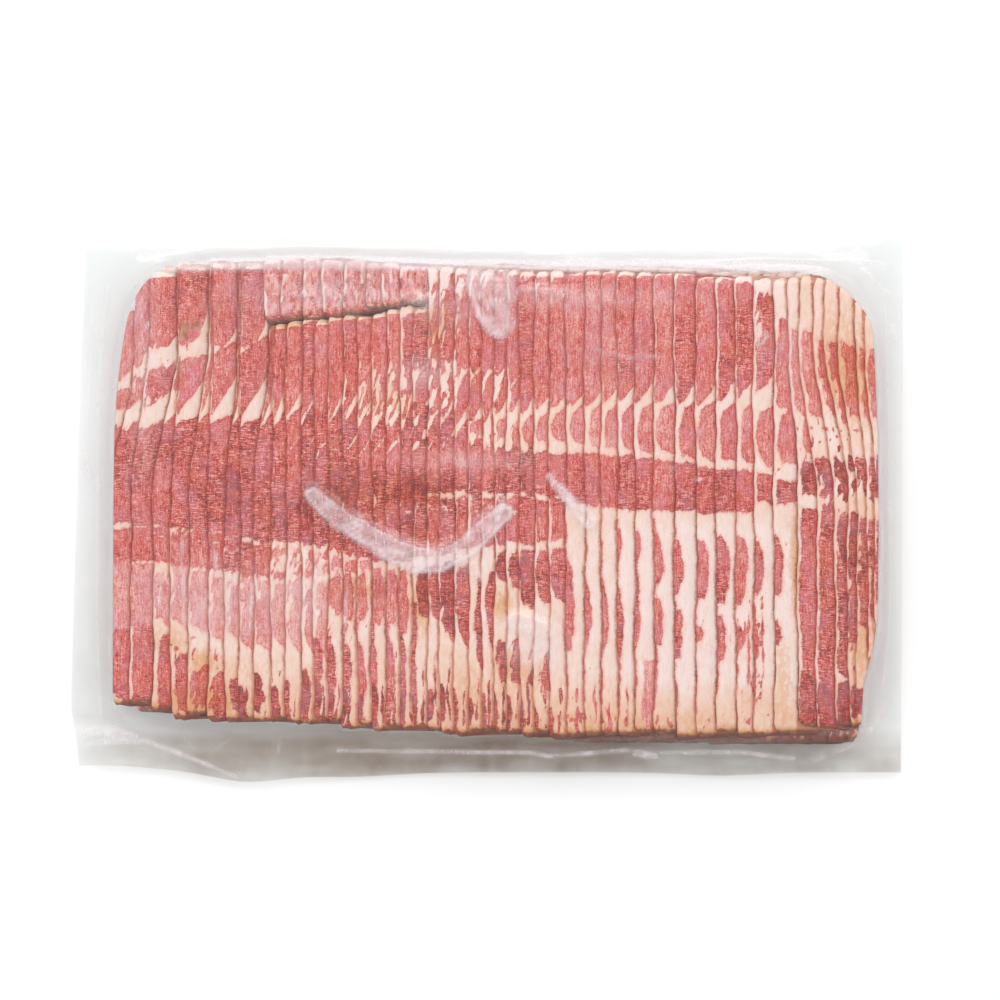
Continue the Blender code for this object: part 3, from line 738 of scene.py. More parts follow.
class Slice:
    """One slice: a thin bar tilted about Y, its free edge up and to the left.

    Its ends are X of the free edge at the front and at the back, its span runs from its front
    end to its back end, and w is a place along its tilted width from the free edge.
    """

    def __init__(self, number, ends, span, crest, field, before):
        self.number = number
        self.ends = ends
        self.front, self.back = span
        self.crest = crest
        self.field = field
        self.before = before
        self.after = None
        rng = np.random.default_rng(SLICE_SEED + number)
        self.phase = rng.uniform(0.0, 2.0 * math.pi, 3)
        self.lift = rng.uniform(-CREST_SCATTER, CREST_SCATTER)
        self.corner = rng.uniform(END_CORNER_FROM, END_CORNER_TO)
        self.tip = 0.0
        if before is not None:
            before.after = self

    def line(self, y):
        """X of the free edge before it waves."""
        return mix(self.ends[0], self.ends[1], smooth((y - FAN_FROM) / FAN_RUN))

    def edge(self, y):
        """X of the free edge."""
        wave = 0.0
        for (height, turns), phase in zip(EDGE_WAVES, (2.1 * self.number, *self.phase)):
            wave = wave + height * np.sin(y * turns + phase)
        return self.line(y) + wave

    def end_distance(self, y):
        return np.minimum(y - self.front, self.back - y)

    def drop(self, w):
        """Fall of the top face from the free edge: nearly flat at first, then at the tilt."""
        return TILT_SINE * (w - PRESS * PRESS_RUN * (1.0 - np.exp(-w / PRESS_RUN)))

    def taper(self, w):
        """Share of the full thickness left where the slice is pressed."""
        return 1.0 - PRESS * (1.0 - math.exp(-1.0)) * np.exp(-np.maximum(w, 0.0) / PRESS_RUN)

    def height(self, w, y):
        """Z of the top face at w along the tilted width."""
        droop = END_DROOP * fading(self.end_distance(y), END_DROOP_RUN) ** 2
        droop = droop + EDGE_ROLL * fading(w, EDGE_ROLL_RUN) ** 2
        return self.crest(self.edge(y), y) + self.lift - self.drop(w) - droop

    def limits(self, y):
        """Where the slice starts and stops along its width: slab sides and round corners."""
        x = self.edge(y)
        start = np.maximum(0.0, (meat_left(y) - x) / TILT_COSINE)
        stop = np.minimum(SLICE_WIDTH, (meat_right(y) - x) / TILT_COSINE)
        reach = self.corner - np.clip(self.end_distance(y), 0.0, self.corner)
        recess = self.corner - np.sqrt(self.corner ** 2 - reach ** 2)
        start = np.minimum(start, stop - LEAST_WIDTH)
        recess = np.minimum(recess, 0.5 * (stop - start - LEAST_WIDTH))
        return start + recess * FREE_RECESS, stop - recess * COVERED_RECESS

    def thickness(self, y):
        """Slices fill the room between one top face and the next."""
        if self.before is None:
            return np.full(np.shape(y), FIRST_THICKNESS)
        room = (self.edge(y) - self.before.edge(y)) * TILT_SINE
        return np.clip(room * ROOM_FILLED, THINNEST, THICKEST)

    def shown(self, y):
        """Width left open by the next slice."""
        if self.after is None:
            return np.full(np.shape(y), SLICE_WIDTH)
        return np.maximum((self.after.edge(y) - self.edge(y)) / TILT_COSINE, LEAST_WIDTH)

    def covers(self, w, y, before):
        """Whether a place at w along the width lies on the slice."""
        start, stop = self.limits(y)
        return (w >= start - before) & (w <= stop) & (y >= self.front) & (y <= self.back)

    def top_at(self, x, y):
        w = (x - self.edge(y)) / TILT_COSINE
        return np.where(self.covers(w, y, 0.25), self.height(np.maximum(w, 0.0), y), NOTHING)

    def under_at(self, x, y):
        thick = self.thickness(y)
        w = (x - self.edge(y) + thick * TILT_SINE) / TILT_COSINE
        on = self.covers(w, y, 0.0)
        w = np.maximum(w, 0.0)
        return np.where(on, self.height(w, y) - thick * self.taper(w) * TILT_COSINE, -NOTHING)


def section_loop(top, under):
    """(place along the width, share of the thickness) round a slice's section."""
    loop = [(w, 0.0) for w in top]
    loop += [(SLICE_WIDTH + out, share) for out, share in FAR_EDGE]
    loop += [(w, 1.0) for w in under]
    loop += list(NEAR_EDGE)
    return np.array(loop)


def slice_rows(one, step):
    """Places along a slice, closest together at its two ends."""
    low, high = one.front + END_ZONE, one.back - END_ZONE
    middle = np.linspace(low, high, max(int((one.back - one.front) / step), 4))
    ends = np.array(END_ROWS)
    return np.concatenate([one.front + ends, middle, one.back - ends[::-1]])


def fit_width(along, shown, room):
    """Spread places along a full width so that most of them fall on the shown strip."""
    turn = np.clip(shown + 0.8, 0.15 * room, 0.6 * room)
    near = along * turn / SHOWN_WIDTH
    rest = turn + (along - SHOWN_WIDTH) / (SLICE_WIDTH - SHOWN_WIDTH) * (room - turn)
    return np.where(along <= SHOWN_WIDTH, near, rest)


def ragged_end(one, w, y):
    """Shift along the slice that keeps its cut end from being a straight line."""
    near_end = fading(one.end_distance(y), END_RAGGED_RUN) ** 2
    return END_RAGGED * near_end * value_noise(w / 2.3 + one.number * 5.7, y * 0.0 + one.number, 44)


def colour_facts(one, x, y, w, share, shown):
    """What the meat's material reads: lean, tone, warmth and shade, and the stain."""
    lean, tone, warm = one.field(one.line(y), y, w, shown, one.number)
    near_end = fading(one.end_distance(y), PALE_END)
    lean = lean - 1.6 * near_end * (value_noise(one.number * 2.3, y / 30.0, 42) + 0.55)
    lean = lean - one.tip * fading(one.back - y, FLAPPED_RUN)
    trimmed = fading(one.back - y, BACK_TRIM)
    lean = lean - 4.0 * trimmed * (value_noise(one.number * 1.7, y / 3.0, 45) + 0.9)
    front_brown = fading(y - one.front, BROWN_END)
    crumbs = layered(0.0, x, y, (1.0, 1.6, 1.4, 46), (0.5, 0.8, 0.7, 47))
    lean = mix(lean, 1.6 + 4.0 * crumbs, front_brown)
    tone = mix(tone, BROWN_TONE, np.sqrt(front_brown))
    # Painted shade: strongest at the next slice's edge, and over the under half of the slice's section.
    shade = np.maximum(fading(shown - EDGE_FACE - w, SHADE_REACH), 0.9 * (share > 0.5))
    facts = (np.clip(0.5 + lean / LEAN_RANGE, 0.0, 1.0), np.clip(tone, 0.0, 1.0),
             np.clip(warm + 0.3 * near_end, 0.0, 1.0), shade)
    stain = mix(np.clip(spots(x, y, STAINS), 0.0, 1.0), BROWN_STAIN, front_brown)
    return np.stack(facts, -1), stain


def slice_arrays(one, loop, step):
    """Points, colour facts and stains of one slice, in rows of section loops."""
    y = slice_rows(one, step)[:, None] + 0.0 * loop[:, 0][None, :]
    share = loop[:, 1][None, :] + 0.0 * y
    start, stop = one.limits(y)
    shown = one.shown(y)
    w = start + fit_width(loop[:, 0][None, :], shown - start, stop - start)
    end = np.clip(one.end_distance(y) / END_PINCH_RUN, 0.0, 1.0)
    y = y + ragged_end(one, w, y)
    pinch = END_PINCH + (1.0 - END_PINCH) * np.sqrt(1.0 - (1.0 - end) ** 2)
    depth = one.thickness(y) * one.taper(w) * (0.5 + (share - 0.5) * pinch)
    relief = 0.14 * value_noise(w / 3.0 + one.number * 3.1, y / 7.0, 41)
    relief = relief + 0.07 * value_noise(w / 1.1, y / 2.6 + one.number * 1.9, 43)
    x = one.edge(y) + w * TILT_COSINE - depth * TILT_SINE
    z = one.height(np.maximum(w, 0.0), y) - depth * TILT_COSINE + np.where(share < 0.5, relief, 0.0)
    z = np.maximum(z, LEAST_HEIGHT)
    return np.stack([x, y, z], -1), *colour_facts(one, x, y, w, share, shown)


def slice_faces(rows, ring, offset):
    """Quads along the slice, then a fan at each end round the two extra points."""
    index = offset + np.arange(rows * ring).reshape(rows, ring)
    after = np.roll(index, -1, 1)
    faces = np.stack([index[:-1], after[:-1], after[1:], index[1:]], -1).reshape(-1, 4).tolist()
    tip = np.full(ring, offset + rows * ring)
    for fan in ((after[0], index[0], tip), (index[-1], after[-1], tip + 1)):
        faces += np.stack(fan, -1).tolist()
    return faces


def corners(*places):
    """(u, v) of each face's corners, from grids of u and of v for each corner."""
    return np.stack([np.stack(np.broadcast_arrays(u, v), -1) for u, v in places], -2).reshape(-1, 2)


def slice_uvs(rows, ring, shown, bands, base, share):
    """Places in the bake layout: the strip that shows, cut into bands, gets most of the area."""
    (first, last), quads = shown, rows - 1
    j, i = np.arange(quads)[:, None], np.arange(ring)[None, :]
    band = j * bands // quads
    start, stop = -(-band * quads // bands), -(-(band + 1) * quads // bands)
    tall = share * (SHOWN_SHARE / bands - 0.012) / (last - first)
    low = base + share * (SHOWN_SHARE * band / bands + 0.004) + tall * (i - first)
    thin = share * (USED_SHARE - SHOWN_SHARE) / ring
    v = base + share * SHOWN_SHARE + thin * ((i - last) % ring)
    strip = ((j - start) / (stop - start), 1.0 / (stop - start), low, tall)
    u0, wide, v0, high = (np.where((i >= first) & (i < last), *both)
                          for both in zip(strip, (j / quads, 1.0 / quads, v, thin)))
    left, right = (0.015 + 0.97 * u for u in (u0, u0 + wide))
    fans = [corners((side, v[0] + thin * turn), (side, v[0] + thin * (1 - turn)), (tip, v[0] + thin * 0.5))
            for side, tip, turn in ((0.012, 0.004, 1), (0.988, 0.996, 0))]
    return np.concatenate([corners((left, v0), (left, v0 + high), (right, v0 + high), (right, v0)), *fans])


def with_tips(rows_of_values):
    """Add the mean of the first and of the last row, for the two end points."""
    flat = rows_of_values.reshape(-1, *rows_of_values.shape[2:])
    tips = np.stack([rows_of_values[0].mean(0), rows_of_values[-1].mean(0)])
    return np.concatenate([flat, tips])


def make_slices(name, members, loop, shown, step, bands, material):
    """One object from one or more slices."""
    values, faces, uvs = [], [], []
    offset = 0
    for index, one in enumerate(members):
        arrays = slice_arrays(one, loop, step)
        rows, ring = arrays[0].shape[:2]
        values.append([with_tips(array) for array in arrays])
        faces += slice_faces(rows, ring, offset)
        uvs.append(slice_uvs(rows, ring, shown, bands, index / len(members), 1.0 / len(members)))
        offset += rows * ring + 2
    points, facts, stains = (np.concatenate(arrays) for arrays in zip(*values))
    made = add_mesh(name, points, faces, np.concatenate(uvs), material)
    add_attribute(made, "meat", facts)
    add_attribute(made, "amber", stains)


def add_mesh(name, points, faces, uvs, material):
    """A smooth mesh object that stands in for the CAD's solid."""
    data = bpy.data.meshes.new(name)
    data.from_pydata(to_frame(points).tolist(), [], faces)
    layer = data.uv_layers.new(name="OFBake")
    layer.data.foreach_set("uv", uvs.astype(np.float32).ravel())
    data.polygons.foreach_set("use_smooth", np.ones(len(data.polygons), bool))
    data.materials.append(material)
    made = linked(name, data)
    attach(made, BODY)
    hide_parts(PACK)
    return made


def linked(name, data):
    made = bpy.data.objects.new(name, data)
    bpy.context.scene.collection.objects.link(made)
    return made


def add_attribute(made, name, values):
    """Per-point numbers that the material reads: four go in as a colour, one as a float."""
    kind, key = ("FLOAT_COLOR", "color") if values.ndim == 2 else ("FLOAT", "value")
    layer = made.data.attributes.new(name, kind, "POINT")
    layer.data.foreach_set(key, values.astype(np.float32).ravel())


# ---- laying the slices out
def ragged(k):
    """A fixed scatter from -1 to 1."""
    value = math.sin(k * 12.9898 + 4.1) * 437.585
    return 2.0 * (value - math.floor(value)) - 1.0


def slice_edges():
    """Free edge of each slice at its front end and at its back end, as in the CAD."""
    front = []
    x = FIRST_EDGE
    while x < LAST_EDGE:
        front.append(x)
        x += keyed(x, PITCH_KEYS) * (1.0 + PITCH_SCATTER * ragged(len(front) - 1))
    edges = []
    for k, x in enumerate(front):
        back = x + keyed(x, FAN_KEYS)
        if x < PAIRS_LEFT_OF and k % 2 == 1 and k + 1 < len(front):
            following = front[k + 1] + keyed(front[k + 1], FAN_KEYS)
            back = mix(back, following, PAIR_CLOSING)
        edges.append((x, back))
    return [*LEAD_EDGES, *edges, *TAIL_EDGES]


def upper_slices():
    """The slices that show, each from the front of the pack to its back."""
    rng = np.random.default_rng(UPPER_SEED)
    slices = [None]
    for number, ends in enumerate(slice_edges()):
        flapped = FLAP_FROM < ends[1] < FLAP_TO
        back = float(keyed(max(ends[1], ENDS_LEFT_MOST), BACK_END_KEYS)) + rng.uniform(*BACK_SCATTER)
        if flapped:
            back = float(keyed(ends[1], FLAP_LINE_KEYS)) - 0.5 * FLAP_GAP + rng.uniform(*FLAPPED_SCATTER)
        front = float(keyed(max(ends[0], ENDS_LEFT_MOST), FRONT_END_KEYS)) + rng.uniform(*FRONT_SCATTER)
        slices.append(Slice(number, ends, (front, back), crest_height, belly_field, slices[-1]))
        slices[-1].tip = FLAPPED_TIP if flapped else 0.0
    return slices[1:]


def flap_slices():
    """Short ends that lie behind the slices left of the middle."""
    rng = np.random.default_rng(FLAP_SEED)
    slices = [None]
    x = FLAP_FROM - 1.0
    while x < FLAP_TO - 4.0:
        number = FLAP_NUMBER + len(slices)
        front = float(keyed(x, FLAP_LINE_KEYS)) + 0.5 * FLAP_GAP + rng.uniform(*FLAP_FRONT_SCATTER)
        span = (front, float(keyed(x, BACK_END_KEYS)) + rng.uniform(*FLAP_BACK_SCATTER))
        slices.append(Slice(number, (x, x), span, flap_crest, flap_field, slices[-1]))
        x += FLAP_PITCH + FLAP_PITCH_SCATTER * ragged(number)
    return slices[1:]


def flap_crest(x, y):
    """Height of the short ends' free edges."""
    return crest_height(x, y) + FLAP_RISE


def lower_crest(x, y):
    """Height of the lower layer's free edges."""
    return LOWER_CREST + 0.25 * np.sin(x * 0.05) + 0.0 * y


def lower_slices():
    """The layer underneath, cut shorter where the slab's sides come in."""
    rng = np.random.default_rng(LOWER_SEED)
    slices = [None]
    x = LOWER_FIRST_EDGE
    while x < LOWER_LAST_EDGE:
        number = LOWER_NUMBER + len(slices)
        front = float(slab_front(x)) + LOWER_INSET + rng.uniform(0.0, 1.8)
        front = front + LOWER_RECESS * float(smooth((LOWER_RECESS_FROM - x) / LOWER_RECESS_RUN))
        back = min(float(slab_back(x)) - LOWER_INSET, float(keyed(x, BACK_END_KEYS)) + LOWER_BEHIND)
        back = back - rng.uniform(0.0, 1.6)
        side = max(min(x - (SLAB_LEFT - 8.0), SLAB_RIGHT - x), 0.0)
        front = front + LOWER_TRIM * max(0.0, 1.0 - side / LOWER_TRIM_RUN) ** 2
        slices.append(Slice(number, (x, x + 1.5), (front, back), lower_crest, plain_field, slices[-1]))
        x += LOWER_PITCH * (1.0 + LOWER_PITCH_SCATTER * ragged(number))
    return slices[1:]


# ---- film
def shares(length, fine, coarse):
    """Places from 0 to 1 along a length, closer together near both ends."""
    edge = np.arange(0.0, FILM_BORDER, fine)
    middle = np.linspace(FILM_BORDER, length - FILM_BORDER, int((length - 2.0 * FILM_BORDER) / coarse) + 1)
    return np.concatenate([edge, middle, length - edge[::-1]]) / length


def film_grid(steps_x, steps_y):
    """Grid of (x, y) over the film, which fits its uneven outline."""
    u, v = np.meshgrid(shares(RIGHT_X - LEFT_X, *steps_x), shares(BACK_Y - FRONT_Y, *steps_y))
    x, y = mix(LEFT_X, RIGHT_X, u), mix(FRONT_Y, BACK_Y, v)
    for _ in range(4):
        x, y = mix(film_left(y), film_right(y), u), mix(film_front(x), film_back(x), v)
    return x, y


def height_map(slices, reader, sign):
    """Highest (or with sign -1 lowest) slice surface on a regular grid."""
    best = np.full((len(MAP_Y), len(MAP_X)), NOTHING)
    for one in slices:
        low = min(one.ends) - 3.0
        span = (MAP_X > low) & (MAP_X < low + SLICE_WIDTH + 20.0)
        x, y = np.meshgrid(MAP_X[span], MAP_Y)
        best[:, span] = np.maximum(best[:, span], sign * reader(one, x, y))
    return best


def widest(field, reach_x, reach_y):
    """Highest value within a reach of cells each way."""
    for reach in (reach_x, reach_y):
        out = field.copy()
        for k in range(1, reach + 1):
            out[:, k:] = np.maximum(out[:, k:], field[:, :-k])
            out[:, :-k] = np.maximum(out[:, :-k], field[:, k:])
        field = out.T
    return field


def read_map(field, x, y):
    """Values of a map between its grid points."""
    i = np.clip((x - MAP_X[0]) / MAP_STEP_X, 0.0, len(MAP_X) - 1.001)
    j = np.clip((y - MAP_Y[0]) / MAP_STEP_Y, 0.0, len(MAP_Y) - 1.001)
    i0, j0 = i.astype(int), j.astype(int)
    low = mix(field[j0, i0], field[j0, i0 + 1], i - i0)
    high = mix(field[j0 + 1, i0], field[j0 + 1, i0 + 1], i - i0)
    return mix(low, high, j - j0)


def neighbours(field):
    """The values to the left, to the right, in front and behind."""
    padded = np.pad(field, 1, mode="edge")
    return padded[1:-1, :-2], padded[1:-1, 2:], padded[:-2, 1:-1], padded[2:, 1:-1]


def averaged(field):
    """Each value's mean with its four neighbours."""
    left, right, front, back = neighbours(field)
    return 0.2 * (left + right + front + back + field)


def drape(meat, ground, x, y, slope, rounds):
    """A film pulled down over the meat: walls of at most a slope, then a taut smoothing."""
    floor = np.maximum(meat + FILM_GAP, ground)
    film = floor
    falls = [slope * np.hypot(near_x - x, near_y - y) for near_x, near_y in zip(neighbours(x), neighbours(y))]
    for _ in range(WALL_ROUNDS):
        for near, fall in zip(neighbours(film), falls):
            film = np.maximum(film, near - fall - 1e-6)
    for _ in range(rounds):
        film = np.maximum(floor, averaged(film))
    return film


def stroke_field(x, y, points):
    """Distance to a line of points, the side it lies on and the share of its length passed."""
    best = np.full(x.shape, 1e9)
    side, along = np.zeros(x.shape), np.zeros(x.shape)
    lengths = [math.dist(a, b) for a, b in zip(points, points[1:])]
    passed = 0.0
    for (x0, y0), (x1, y1), length in zip(points, points[1:], lengths):
        dx, dy = (x1 - x0) / length, (y1 - y0) / length
        t = np.clip((x - x0) * dx + (y - y0) * dy, 0.0, length)
        gap = np.hypot(x - x0 - t * dx, y - y0 - t * dy)
        nearer = gap < best
        best = np.where(nearer, gap, best)
        side = np.where(nearer, np.sign((x - x0) * dy - (y - y0) * dx), side)
        along = np.where(nearer, (passed + t) / sum(lengths), along)
        passed += length
    return best, side, along


def folds(x, y):
    """How far the film is pulled taut, its lift, and its painted glare and painted rim highlights, from each
    fold.
    """
    taut, lift, painted_glare = np.zeros(x.shape), np.zeros(x.shape), np.zeros(x.shape)
    patchy = layered(0.62, x, y, (0.30, 5.0, 4.0, 62), (0.14, 1.6, 2.2, 67))
    spread = layered(1.0, x, y, (0.14, 9.0, 9.0, 61))
    rim_patches = layered(0.75, x, y, (0.25, 4.0, 4.0, 68))
    for points, widths, height, white, rim in FOLDS:
        gap, side, along = stroke_field(x, y, points)
        width = np.interp(along, (0.0, 0.5, 1.0), widths) * spread
        inside = smooth((1.2 * width + 0.7 - gap) / (0.35 * width + 1.2))
        ridge = np.exp(-(((gap - width) / (0.1 * width + 0.8)) ** 2)) * np.where(side > 0.0, 0.9, 0.3)
        around = smooth((1.7 * width + 2.0 - gap) / (0.5 * width + 1.5))
        taut = np.maximum(taut, around * smooth(width - 0.9))
        lift = np.maximum(lift, height * (0.7 * inside + 0.3 * rim * ridge))
        wrinkle = 0.85 + 0.30 * value_noise(gap * side / 1.3 + 20.0, along * 4.0, 71)
        painted_glare = np.maximum(painted_glare, white * inside * patchy * wrinkle)
        painted_glare = np.maximum(painted_glare, rim * ridge * rim_patches)
    return taut, lift, painted_glare


def painted_sheen(x, y):
    """Painted sheen: streaky whiteness of the film in patches."""
    streaks = layered(0.6, x, y, (0.4, 1.4, 5.0, 69), (0.25, 0.9, 1.6, 70))
    return spots(x, y, SHEEN_PATCHES) * np.clip(streaks, 0.0, 1.5)


def flange_share(x, y):
    """0 over the slab, 1 on the free flange."""
    return smooth((FLANGE_FROM - slab_depth(x, y)) / FLANGE_RUN)


def flange_ripple(x, y, free):
    """Small creases of the free flange, along its length, and its lift off the floor."""
    across = layered(0.0, x, y, (0.30, 9.0, 34.0, 63), (0.16, 3.5, 14.0, 64))
    length = layered(0.0, x, y, (0.30, 34.0, 9.0, 65), (0.16, 14.0, 3.5, 66))
    creases = mix(length, across, smooth((np.abs(x) - SIDE_CREASES_FROM) / SIDE_CREASES_RUN))
    return free * (creases + FLANGE_RISE) * smooth((x - film_left(y)) / 3.0 + 0.3)


def back_wash(y, free):
    """The back wall of film is washed white by the light behind it."""
    return BACK_WASH * smooth((y - BACK_WASH_FROM) / BACK_WASH_RUN) * (1.0 - free)


def painted_film_shade(x, y, free):
    """Painted shade: the film is greyer where it is loose, and most of all along the front, where the slab
    shades it.
    """
    corner = CORNER_SHADE * smooth((np.abs(x) - 150.0) / 34.0) * smooth((y - 50.0) / 50.0)
    wall = (1.0 - free) * WALL_SHADE * smooth((-WALL_SHADE_FROM - y) / WALL_SHADE_RUN)
    painted_shade = free * (keyed(y, FILM_SHADE_KEYS) + corner) + wall
    front = smooth((-FRONT_SHADE_FROM - y) / FRONT_SHADE_RUN)
    # The painted shade varies in streaks across the front.
    creases = layered(1.0, x, y, (FRONT_SHADE_STREAKS, 18.0, 3.2, 61))
    return painted_shade * mix(1.0, keyed(x, FRONT_SHADE_KEYS) * creases, front)


def painted_meat_bounce(x, y):
    """Painted bounce light: how much the front film's painted shade takes the meat's brown."""
    near = smooth((y - slab_front(x) + 14.0) / 12.0)
    paler = 0.6 * smooth((x - 60.0) / 30.0)
    return smooth((-BOUNCE_FROM - y) / BOUNCE_RUN) * (0.2 + 0.7 * near) * (1.0 - paler)


def film_sheet(name, x, y, z, upward, free, painted_glare, material):
    """One sheet of film, with the four numbers that its material reads."""
    rows, columns = x.shape
    index = np.arange(rows * columns).reshape(rows, columns)
    a, b = index[:-1, :-1].ravel(), index[:-1, 1:].ravel()
    c, d = index[1:, 1:].ravel(), index[1:, :-1].ravel()
    faces = np.stack([a, b, c, d] if upward else [a, d, c, b], -1)
    u, v = np.meshgrid(np.linspace(0.01, 0.99, columns), np.linspace(0.01, 0.99, rows))
    uv = np.stack([u.ravel(), v.ravel()], -1)[faces.ravel()]
    made = add_mesh(name, np.stack([x, y, z], -1).reshape(-1, 3), faces.tolist(), uv, material)
    add_attribute(made, "painted_glare", painted_glare.ravel())
    add_attribute(made, "painted_shade", painted_film_shade(x, y, free).ravel())
    add_attribute(made, "painted_bounce", painted_meat_bounce(x, y).ravel())
    add_attribute(made, "free", free.ravel())


def top_film(slices, material):
    """The sheet drawn down over the meat, standing off it in folds."""
    x, y = film_grid(*TOP_STEPS)
    meat = read_map(widest(height_map(slices, Slice.top_at, 1.0), *TOP_REACH), x, y)
    z = drape(meat, flange_height(x, y), x, y, *TOP_DRAPE)
    taut, lift, painted_glare = folds(x, y)
    free = flange_share(x, y)
    calm = z
    for _ in range(TAUT_ROUNDS):
        calm = averaged(calm)
    z = mix(z + lift, np.maximum(z, calm + TAUT_RISE + lift), taut * (1.0 - free))
    z = z + flange_ripple(x, y, free)
    # Painted glare: the folds' whiteness, the sheen patches over the meat and the back wall lit from behind.
    painted_glare = np.maximum(painted_glare, np.maximum(painted_sheen(x, y) * (1.0 - free), back_wash(y, free)))
    film_sheet("film_top", x, y, z, True, free, painted_glare, material)


def bottom_film(slices, material):
    """The sheet under the meat, joined to the top one along the flange."""
    x, y = film_grid(*BOTTOM_STEPS)
    meat = read_map(widest(height_map(slices, Slice.under_at, -1.0), *BOTTOM_REACH), x, y)
    free = flange_share(x, y)
    edge = flange_height(x, y) + flange_ripple(x, y, free)
    z = np.maximum(-drape(meat, SEAL_GAP - edge, x, y, *BOTTOM_DRAPE), FILM_CLEARANCE)
    film_sheet("film_bottom", x, y, z, False, free, 0.0 * x, material)


# ---- materials
class Nodes:
    """Short way of adding and joining shader nodes."""

    def __init__(self, name):
        self.material = bpy.data.materials.new(name)
        self.material.use_nodes = True
        self.tree = self.material.node_tree
        self.tree.nodes.clear()

    def add(self, kind, inputs=(), **settings):
        node = self.tree.nodes.new(kind)
        for key, value in settings.items():
            setattr(node, key, value)
        for key, value in dict(inputs).items():
            self.put(node.inputs[key], value)
        return node

    def put(self, socket, value):
        if isinstance(value, bpy.types.NodeSocket):
            self.tree.links.new(value, socket)
        else:
            socket.default_value = value

    def maths(self, operation, a, b=0.0, c=0.0):
        node = self.add("ShaderNodeMath", operation=operation)
        for socket, value in zip(node.inputs, (a, b, c)):
            self.put(socket, value)
        return node.outputs[0]

    def times(self, a, b, plus=0.0):
        return self.maths("MULTIPLY_ADD", a, b, plus)

    def plus(self, a, b):
        return self.maths("ADD", a, b)

    def ramp(self, value, low, high, to_low=0.0, to_high=1.0):
        keys = {"Value": value, "From Min": low, "From Max": high, "To Min": to_low, "To Max": to_high}
        return self.add("ShaderNodeMapRange", keys, interpolation_type="SMOOTHSTEP").outputs[0]

    def blend(self, factor, a, b, blend_type="MIX"):
        node = self.add("ShaderNodeMix", {0: factor, 6: a, 7: b}, data_type="RGBA", blend_type=blend_type)
        return node.outputs[2]

    def attribute(self, name, output="Fac"):
        return self.add("ShaderNodeAttribute", attribute_name=name, attribute_type="GEOMETRY").outputs[output]

    def places(self, sx, sy, sz):
        """Object coordinates in millimetres, scaled."""
        coords = self.add("ShaderNodeTexCoord")
        scale = (sx / MM, sy / MM, sz / MM)
        return self.add("ShaderNodeMapping", {"Vector": coords.outputs["Object"], "Scale": scale}).outputs[0]

    def noise(self, places, detail=2.0, roughness=0.5, distortion=0.0):
        keys = {"Vector": self.places(*places), "Scale": 1.0, "Detail": detail, "Roughness": roughness,
                "Distortion": distortion}
        return self.add("ShaderNodeTexNoise", keys).outputs[0]

    def centred(self, value):
        """Noise moved to lie round 0."""
        return self.maths("SUBTRACT", value, 0.5)

    def colours(self, value, stops):
        node = self.add("ShaderNodeValToRGB", {"Fac": value})
        ramp = node.color_ramp
        for place, shade in stops[1:-1]:
            ramp.elements.new(place).color = shade
        ramp.elements[0].position, ramp.elements[0].color = stops[0]
        ramp.elements[-1].position, ramp.elements[-1].color = stops[-1]
        return node.outputs[0]

    def bump(self, height, strength, distance):
        keys = {"Strength": strength, "Distance": distance, "Height": height}
        return self.add("ShaderNodeBump", keys).outputs[0]

    def mix_shaders(self, factor, first, second):
        return self.add("ShaderNodeMixShader", {0: factor, 1: first, 2: second}).outputs[0]

    def principled(self, **inputs):
        keys = {key.replace("_", " "): value for key, value in inputs.items()}
        return self.add("ShaderNodeBsdfPrincipled", keys).outputs[0]

    def finish(self, surface):
        self.add("ShaderNodeOutputMaterial", {"Surface": surface})
        return self.material


